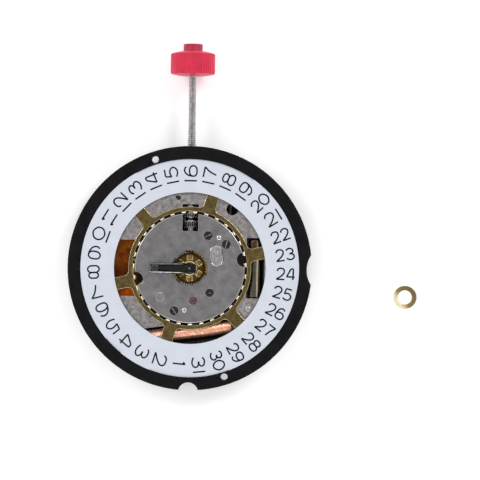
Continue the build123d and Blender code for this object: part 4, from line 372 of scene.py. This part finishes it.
bow = washer_middle()
tints = {
    # painted shade, dark down in the milled wells, in the date ring's groove and beyond the coil
    "nickel_plating": [
        ("Z", ((-1.19, WHITE), (-1.16, WELL_PAINTED_SHADE), (-0.62, WELL_PAINTED_SHADE), (-0.46, WHITE))),
        ("R", ((3.8, WHITE), (3.9, GAP_PAINTED_SHADE), (6.2, GAP_PAINTED_SHADE), (6.4, WHITE))),
        ("Y", ((-7.3, GAP_PAINTED_SHADE), (-7.1, WHITE)), PLATE_FACE),
    ],
    # blackened heads, slots worn bright
    "dark_screw": [("Z", ((-0.078, WHITE), (-0.055, (0.09, 0.09, 0.095))))],
    # the second jewel is nearly black
    "ruby": [("X", ((1.1, WHITE), (1.2, (0.18, 1, 0.6))))],
    "jewel_rim": [("X", ((1.1, WHITE), (1.2, (0.14, 0.2, 0.2))))],
    # olive gold in the pressed petals, brown in a band of height round them, and painted shade on the
    # teeth, darker towards the rim
    "gilt_brass": [
        ("Z", ((-0.27, WHITE), (-0.25, PETAL_SURROUND_BROWN), (-0.21, PETAL_SURROUND_BROWN), (-0.19, WHITE))),
        ("R", ((1.3, WHITE), (1.5, (0.42, 0.34, 0.3)), (1.6, (0.16, 0.12, 0.12)))),
    ],
    # painted shade on the eased edges of the teeth too, darker towards the rim
    "hour_wheel_edge": [("R", ((1.3, WHITE), (1.45, (0.3, 0.24, 0.2)), (1.6, (0.12, 0.1, 0.1))))],
    # pale at one side along the heading, where it bows up, and darker across the rest
    "washer_gilt": [
        (WASHER_HEADING, (
            (bow - 0.8, WHITE), (bow - 0.5, (0.62, 0.54, 0.38)), (bow - 0.2, (0.3, 0.25, 0.14)),
            (bow + 1.2, (0.2, 0.17, 0.1)),
        )),
    ],
    # the foil is darker towards +Y, from y -1.7 mm on
    "amber_foil": [("Y", ((-2.0, WHITE), (-1.7, (0.36, 0.36, 0.6))))],
    # painted reflections on the can: a bright stripe along its flank between dull ones, and a
    # copper-coloured painted reflection on its end
    "crystal_can": [
        ("X", (
            (6.42, WHITE), (6.5, CAN_PAINTED_DULL_REFLECTION), (6.95, (0.28, 0.28, 0.24)),
            (7.02, CAN_PAINTED_HIGHLIGHT), (7.1, CAN_PAINTED_HIGHLIGHT), (7.16, CAN_PAINTED_DULL_REFLECTION), (7.4, CAN_PAINTED_DULL_REFLECTION),
        )),
        ("Y", ((1.9, WHITE), (2.1, (0.8, 0.55, 0.5)))),
    ],
    # painted shade: the crown's cap is a darker red
    "red_moulding": [("Y", ((22.7, WHITE), (22.85, (0.66, 0.95, 1))))],
    # painted highlight: the eased edges are lighter metal along the blade and stay black round the hub
    "hand_edge_painted_highlight": [("X", ((-0.9, WHITE), (-0.5, (0.08, 0.08, 0.08))))],
    # black, with a bright turned point
    "rivet_steel": [("R", ((0.1, WHITE), (0.14, (0.1, 0.1, 0.1))))],
}

# Gloss coat of the ruby, and the light that the red moulding lets in
shader_values = {
    "ruby": {"Coat Weight": 0.6, "Transmission Weight": 0.25},
    "red_moulding": {
        "Subsurface Weight": 0.15,
        "Subsurface Radius": (1.0, 0.3, 0.2),
        "Subsurface Scale": 0.4 * MILLIMETRE,
    },
}
patterned = {
    "copper_winding": copper_winding,
    "amber_foil": amber_foil,
    "crystal_can": crystal_can,
    "bridge_nickel": bridge_nickel,
}
made = {}


def finish(name):
    """The material of this name, with its tints; each is made once."""
    if name not in made:
        material = patterned[name]() if name in patterned else mottled(name)
        for axis, stops, *above in tints.get(name, ()):
            tint_along(material, axis, stops, *above)
        shader = material.node_tree.nodes["Principled BSDF"]
        for socket, value in shader_values.get(name, {}).items():
            shader.inputs[socket].default_value = value
        made[name] = material
    return made[name]


slot_finishes = {
    "black_plastic": "black_moulding",
    "nickel_plate": "nickel_plating",
    "steel_cover": "lapped_steel",
    "blackened_screw": "dark_screw",
    "bright_steel": "polished_steel",
    "spring_steel": "spring_steel",
    # the levers lie deep in the keyless window: their steel is darkened, painted shade
    "lever_steel": "blackened_and_painted_shade_steel",
    "ruby": "ruby",
    "brass_bush": "turned_brass",
    "gold_brass": "gilt_brass",
    "wheel_brass": "wheel_brass",
    "arbor_steel": "arbor_steel",
    "date_brass": "date_brass",
    "date_white": "white_lacquer",
    "driver_plastic": "brown_moulding",
    "magnet": "magnet_finish",
    "soft_iron": "soft_iron",
    "bobbin": "amber_moulding",
    "copper": "copper_winding",
    "battery_steel": "battery_steel",
    "gasket": "nylon_seal",
    "amber_foil": "amber_foil",
    "bright_screw": "polished_steel",
    "board": "green_laminate",
    "module_gilt": "gilt_sheet",
    "crystal_can": "crystal_can",
    "tinned_lead": "tinned_wire",
    "epoxy": "potting_drop",
    "capacitor": "ceramic_body",
    "bridge_nickel": "bridge_nickel",
    "stem_steel": "stem_steel",
    "red_plastic": "red_moulding",
    "black_hand": "black_lacquer",
}
own_finishes = {
    "check_hand_rivet": "rivet_steel",
    "dial_washer": "washer_gilt",
    # the setting lever spring lies deep under a hole in the plate and is darkened the same way, painted
    # shade
    "setting_lever_spring": "blackened_and_painted_shade_steel",
}

slot_of = {entry["node"]: entry["material_slot"] for entry in frame["record"]["subparts"]}
body_of = {
    node: body
    for body, nodes in frame["record"]["behaviour"]["bodies"].items()
    for node in nodes
}
for name, slot in slot_of.items():
    node = frame["nodes"][name]
    node.data.materials.clear()
    node.data.materials.append(finish(own_finishes.get(name, slot_finishes[slot])))

# Widths of the rounded edges of what shows, in millimetres, and the finish rubbed on them
eased_edges = {
    "casing_ring": (0.07, "black_moulding"),
    "cover_plate": (0.035, "cover_rim_steel"),
    "cover_screws": (0.03, "blackened_and_painted_shade_steel"),
    "cover_pins": (0.06, "burnished_steel"),
    "check_hand": (0.06, "hand_edge_painted_highlight"),
    "check_hand_rivet": (0.07, "rivet_steel"),
    "date_disc": (0.045, "bare_disc_edge"),
    "date_wheel": (0.05, "burnished_brass"),
    "hour_wheel": (0.035, "hour_wheel_edge"),
    "plate_jewels": (0.06, "jewel_rim"),
    "wheel_spring": (0.04, "cover_rim_steel"),
    "date_jumper": (0.04, "black_moulding"),
    "sliding_pinion": (0.03, "burnished_steel"),
    "crown": (0.04, "red_moulding"),
    "dial_washer": (0.03, "washer_gilt"),
    "battery_can": (0.05, "battery_steel"),
    "train_bridge": (0.05, "burnished_steel"),
    "bridge_screws": (0.03, "burnished_steel"),
    "clamp_screws": (0.03, "burnished_steel"),
    "module_screws": (0.03, "burnished_steel"),
    "module_cover": (0.04, "gilt_sheet"),
    "trim_capacitor": (0.05, "ceramic_body"),
}
EDGE_STEPS = 2
EDGE_ANGLE = math.radians(35)
SMOOTH_ANGLE = math.radians(32)
MERGE_DISTANCE = 0.5 * MICRON
FLAT_ANGLE = math.radians(0.4)
# Faces with holes keep their triangles
PIERCED = ("check_hand", "casing_ring", "train_bridge", "module_cover")


def shaped_copy(name):
    """A copy of a CAD node with its points merged and its flat faces joined, ready to be worked on."""
    source = frame["nodes"][name]
    copy = source.copy()
    copy.data = source.data.copy()
    copy.name = f"{name}_finished"
    copy.data.name = f"{name}_finished"
    bpy.context.scene.collection.objects.link(copy)
    copy.parent = None
    copy.matrix_world = Matrix.Identity(4)
    bpy.ops.object.select_all(action="DESELECT")
    copy.select_set(True)
    bpy.context.view_layer.objects.active = copy
    bpy.ops.mesh.customdata_custom_splitnormals_clear()
    bpy.ops.object.mode_set(mode="EDIT")
    bpy.ops.mesh.select_all(action="SELECT")
    bpy.ops.mesh.remove_doubles(threshold=MERGE_DISTANCE)
    if name not in PIERCED:
        bpy.ops.mesh.dissolve_limited(angle_limit=FLAT_ANGLE)
    bpy.ops.mesh.select_all(action="DESELECT")
    bpy.ops.object.mode_set(mode="OBJECT")
    return copy


def stand_in(copy, name):
    """The finished copy rides, and stands, for its CAD node."""
    bpy.ops.object.shade_smooth_by_angle(angle=SMOOTH_ANGLE)
    weigh = copy.modifiers.new("flat_faces_stay_flat", "WEIGHTED_NORMAL")
    weigh.keep_sharp = True
    bpy.ops.object.modifier_apply(modifier=weigh.name)
    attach(copy, body_of[name])
    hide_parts(name)


def ease(name, width, edge_finish):
    """Stands a copy with rounded edges of this width in metres for a CAD node."""
    copy = shaped_copy(name)
    copy.data.materials.append(finish(edge_finish))
    bevel = copy.modifiers.new("eased_edges", "BEVEL")
    bevel.width = width
    bevel.segments = EDGE_STEPS
    bevel.limit_method = "ANGLE"
    bevel.angle_limit = EDGE_ANGLE
    bevel.use_clamp_overlap = False
    bevel.material = 1
    bpy.ops.object.modifier_apply(modifier=bevel.name)
    stand_in(copy, name)


for name, (width, edge_finish) in eased_edges.items():
    ease(name, width * MILLIMETRE, edge_finish)


# Numerals of the date ring, as strokes in a unit box: x along the text, y upwards
ROUND = "AUTO"
CORNER = "VECTOR"
digit_stroke_shares = {
    "0": [(True, ROUND, ((0.5, 1), (1, 0.72), (1, 0.28), (0.5, 0), (0, 0.28), (0, 0.72)))],
    "1": [(False, CORNER, ((0.5, 0), (0.5, 1)))],
    "2": [
        (False, ROUND, (
            (0.04, 0.74), (0.2, 0.94), (0.52, 1), (0.86, 0.9), (0.93, 0.66), (0.74, 0.42), (0, 0),
        )),
        (False, CORNER, ((0, 0), (1, 0))),
    ],
    "3": [
        (False, ROUND, ((0.06, 0.84), (0.26, 0.97), (0.6, 0.99), (0.89, 0.82), (0.8, 0.6), (0.44, 0.53))),
        (False, ROUND, ((0.44, 0.53), (0.82, 0.47), (0.98, 0.26), (0.8, 0.05), (0.44, 0), (0.02, 0.14))),
    ],
    "4": [(False, CORNER, ((0.8, 0), (0.8, 1), (0.5, 1), (0, 0.27), (1, 0.27)))],
    "5": [
        (False, CORNER, ((0.9, 1), (0.2, 1), (0.1, 0.52))),
        (False, ROUND, (
            (0.1, 0.52), (0.48, 0.61), (0.86, 0.5), (0.97, 0.28), (0.78, 0.06), (0.4, 0), (0.02, 0.13),
        )),
    ],
    "6": [
        (False, ROUND, ((0.9, 0.88), (0.62, 1), (0.28, 0.9), (0.06, 0.6), (0, 0.3))),
        (True, ROUND, (
            (0.5, 0.6), (0.9, 0.5), (1, 0.3), (0.9, 0.09), (0.5, 0), (0.1, 0.09), (0, 0.3), (0.1, 0.5),
        )),
    ],
    "7": [
        (False, CORNER, ((0, 1), (1, 1))),
        (False, ROUND, ((1, 1), (0.66, 0.6), (0.42, 0))),
    ],
    "8": [
        (True, ROUND, ((0.5, 1), (0.86, 0.9), (0.86, 0.64), (0.5, 0.54), (0.14, 0.64), (0.14, 0.9))),
        (True, ROUND, ((0.5, 0.54), (0.94, 0.42), (0.94, 0.12), (0.5, 0), (0.06, 0.12), (0.06, 0.42))),
    ],
}
NUMERAL_DATES = 31
NUMERAL_TOP_DATE = 16
NUMERAL_TOP_ANGLE = 90.2
NUMERAL_STEP = 360 / NUMERAL_DATES
# The ones of these dates have a small flag
FLAGGED_DATES = (1, 11)
FLAG_SHARES = ((0.5, 1), (0.32, 0.84), (0.5, 0.88))
JOINED_SMOOTH_ANGLE = math.radians(50)
# Sizes of the print in millimetres: the digits are drawn at that scale and brought to metres when placed
STROKE_RADIUS = 0.084
INK_FLATNESS_SHARE = 0.15
SINGLE_RADIUS = 10.08
SINGLE_SIZE = (1.22, 1.3)
WIDE_PAIR_SIZE = (1.08, 1.3)
NARROW_PAIR_SIZE = (0.84, 1.16)
BAR_FIRST_RADII = (9.16, 10.18)
BAR_LAST_RADII = (9.88, 10.9)
BARS_RADII = (9.42, 10.48)
PAIR_RADII = (9.54, 10.6)


def single_runs(strokes):
    """Round strokes whole, and cornered ones cut at their corners so that the nib keeps its width."""
    for closed, handle, points in strokes:
        if handle == ROUND:
            yield closed, handle, points
        else:
            for pair in zip(points, points[1:]):
                yield False, handle, pair


def stroke_curve(name, strokes, width, height):
    """One digit as a flat curve with a round nib, centred on the origin, then made a mesh."""
    curve = bpy.data.curves.new(name, "CURVE")
    curve.dimensions = "3D"
    curve.resolution_u = 5
    curve.bevel_depth = STROKE_RADIUS
    curve.bevel_resolution = 1
    curve.use_fill_caps = True
    for closed, handle, points in single_runs(strokes):
        line = curve.splines.new("BEZIER")
        line.bezier_points.add(len(points) - 1)
        line.use_cyclic_u = closed
        for point, (x, y) in zip(line.bezier_points, points):
            point.co = ((x - 0.5) * width, (y - 0.5) * height, 0)
            point.handle_left_type = handle
            point.handle_right_type = handle
    digit = bpy.data.objects.new(name, curve)
    bpy.context.scene.collection.objects.link(digit)
    bpy.ops.object.select_all(action="DESELECT")
    digit.select_set(True)
    bpy.context.view_layer.objects.active = digit
    bpy.ops.object.convert(target="MESH")
    return digit


def ink_strokes(character, flagged):
    """The strokes of one character; a nine is a six turned half round."""
    if character == "9":
        return [
            (closed, handle, tuple((1 - x, 1 - y) for x, y in points))
            for closed, handle, points in digit_stroke_shares["6"]
        ]
    strokes = list(digit_stroke_shares[character])
    if character == "1" and flagged:
        strokes.append((False, CORNER, FLAG_SHARES))
    return strokes


def numeral_layout(text):
    """The radii of a date's digits and their size: a bar is set close to its neighbour."""
    if len(text) == 1:
        return (SINGLE_RADIUS,), SINGLE_SIZE
    if text == "11":
        return BARS_RADII, WIDE_PAIR_SIZE
    if text[0] == "1":
        return BAR_FIRST_RADII, WIDE_PAIR_SIZE
    if text[1] == "1":
        return BAR_LAST_RADII, WIDE_PAIR_SIZE
    return PAIR_RADII, NARROW_PAIR_SIZE


def join_pieces(pieces, name, finish_name, body):
    """Joins pieces into one named piece of one finish that rides a body."""
    bpy.ops.object.select_all(action="DESELECT")
    for piece in pieces:
        piece.select_set(True)
    bpy.context.view_layer.objects.active = pieces[0]
    bpy.ops.object.join()
    joined = bpy.context.object
    joined.name = name
    joined.data.name = name
    bpy.ops.object.shade_smooth_by_angle(angle=JOINED_SMOOTH_ANGLE)
    joined.data.materials.clear()
    joined.data.materials.append(finish(finish_name))
    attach(joined, body)


def print_numerals():
    """The dates round the white ring, reading outwards, as one printed piece."""
    _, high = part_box("date_disc")
    ring_top = high.z / MILLIMETRE
    to_metres = Matrix.Scale(MILLIMETRE, 4)
    printed = []
    for date in range(1, NUMERAL_DATES + 1):
        angle = math.radians(NUMERAL_TOP_ANGLE - (date - NUMERAL_TOP_DATE) * NUMERAL_STEP)
        text = str(date)
        radii, (width, height) = numeral_layout(text)
        for character, radius in zip(text, radii):
            strokes = ink_strokes(character, date in FLAGGED_DATES)
            digit = stroke_curve(f"numeral_{date}_{radius:.2f}", strokes, width, height)
            flatten = Matrix.Diagonal((1, 1, INK_FLATNESS_SHARE, 1))
            outwards = Matrix.Translation((radius, 0, ring_top))
            turn = Matrix.Rotation(angle, 4, "Z")
            digit.data.transform(to_metres @ turn @ outwards @ flatten)
            printed.append(digit)
    join_pieces(printed, "date_numerals", "date_ink", "date_ring")


print_numerals()


# Crests of the date ring's teeth: the press leaves each tip rounded up, and it shines
RIGHT_NOTCH_ANGLE = 9.8
FIRST_TOOTH_ANGLE = RIGHT_NOTCH_ANGLE + NUMERAL_STEP / 2
CREST_RADIUS = 5.885
CREST_HALF_SIZES = (0.09, 0.24, 0.07)
CREST_SINK = 0.01
CREST_SEGMENTS = 12
CREST_RINGS = 8


def round_tooth_crests():
    """A rounded crest on the tip of every tooth of the date ring."""
    _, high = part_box("date_wheel")
    crest_height = high.z / MILLIMETRE - CREST_SINK
    crests = []
    for tooth in range(NUMERAL_DATES):
        bpy.ops.object.select_all(action="DESELECT")
        bpy.ops.mesh.primitive_uv_sphere_add(segments=CREST_SEGMENTS, ring_count=CREST_RINGS, radius=1)
        crest = bpy.context.object
        bpy.ops.object.mode_set(mode="EDIT")
        bpy.ops.mesh.select_all(action="SELECT")
        bpy.ops.transform.resize(value=CREST_HALF_SIZES)
        bpy.ops.object.mode_set(mode="OBJECT")
        outwards = Matrix.Translation((CREST_RADIUS, 0, crest_height))
        turn = Matrix.Rotation(math.radians(FIRST_TOOTH_ANGLE + tooth * NUMERAL_STEP), 4, "Z")
        crest.data.transform(Matrix.Scale(MILLIMETRE, 4) @ turn @ outwards)
        crests.append(crest)
    join_pieces(crests, "date_tooth_crests", "crest_brass", "date_ring")


round_tooth_crests()


# Studio: pale floor under the crown and the washer, a bright tent that is dimmer straight above
FLOOR_SIZE = 3.0
FLOOR_ROUGHNESS = 0.9
FLOOR_TONE = (0.95, 0.95, 0.95, 1)
FLOOR_GLOW = 0.16
TENT_DIM = 0.45
TENT_BRIGHT = 1.08
TENT_EDGE = (0.62, 0.93)
# Each light's name, place, size in metres and power in watts
lights = (
    ("light_upper_right", (0.24, 0.22, 0.26), 0.14, 0.5),
    ("light_upper_left", (-0.26, 0.16, 0.26), 0.16, 0.35),
    ("light_low", (-0.04, -0.30, 0.2), 0.2, 0.3),
)


def lay_floor():
    """A plain white floor at the object's lowest point."""
    low, _ = cad_box
    bpy.ops.mesh.primitive_plane_add(size=FLOOR_SIZE, location=(0, 0, low.z))
    floor = bpy.context.object
    floor.name = "floor"
    material, _, shader = shade_tree("floor_white", 0.0, FLOOR_ROUGHNESS)
    shader.inputs["Base Color"].default_value = FLOOR_TONE
    shader.inputs["Emission Color"].default_value = (1, 1, 1, 1)
    shader.inputs["Emission Strength"].default_value = FLOOR_GLOW
    floor.data.materials.append(material)


def hang_light(name, place, size, power):
    """A square soft light that points at the movement."""
    light = bpy.data.lights.new(name, "AREA")
    light.shape = "SQUARE"
    light.size = size
    light.energy = power
    lamp = bpy.data.objects.new(name, light)
    bpy.context.scene.collection.objects.link(lamp)
    lamp.location = place
    lamp.rotation_mode = "QUATERNION"
    lamp.rotation_quaternion = (-Vector(place)).to_track_quat("-Z", "Y")


def raise_tent():
    """A white tent all round: its light falls off towards the camera, so flat metal shows grey."""
    world = bpy.data.worlds.new("tent")
    world.use_nodes = True
    tree = world.node_tree
    direction = tree.nodes.new("ShaderNodeTexCoord")
    parts = tree.nodes.new("ShaderNodeSeparateXYZ")
    tree.links.new(direction.outputs["Generated"], parts.inputs["Vector"])
    strength = spread(tree, parts.outputs["Z"], TENT_BRIGHT, TENT_DIM, *TENT_EDGE)
    background = tree.nodes["Background"]
    background.inputs["Color"].default_value = (1, 1, 1, 1)
    tree.links.new(strength, background.inputs["Strength"])
    bpy.context.scene.world = world


def set_camera():
    """The camera straight above the middle of the photograph."""
    half_frame = PHOTO_SIZE / 2
    middle_x = (half_frame - HANDS_PIXEL[0]) * MILLIMETRES_PER_PIXEL * MILLIMETRE
    middle_y = (HANDS_PIXEL[1] - half_frame) * MILLIMETRES_PER_PIXEL * MILLIMETRE
    roll = math.radians(CAMERA_ROLL)
    middle = Matrix.Rotation(roll, 3, "Z") @ Vector((middle_x, middle_y, 0))
    width = PHOTO_SIZE * MILLIMETRES_PER_PIXEL * MILLIMETRE
    data = bpy.data.cameras.new("camera")
    data.lens = CAMERA_LENS
    data.sensor_width = CAMERA_SENSOR
    data.sensor_fit = "HORIZONTAL"
    distance = width * CAMERA_LENS / CAMERA_SENSOR
    data.clip_start = distance / CLIP_FACTOR
    data.clip_end = distance * CLIP_FACTOR
    camera = bpy.data.objects.new("camera", data)
    bpy.context.scene.collection.objects.link(camera)
    camera.location = (middle.x, middle.y, distance)
    camera.rotation_euler = (0, 0, roll)
    bpy.context.scene.camera = camera


lay_floor()
set_camera()
for light in lights:
    hang_light(*light)
raise_tent()
bpy.context.scene.view_settings.view_transform = "Standard"
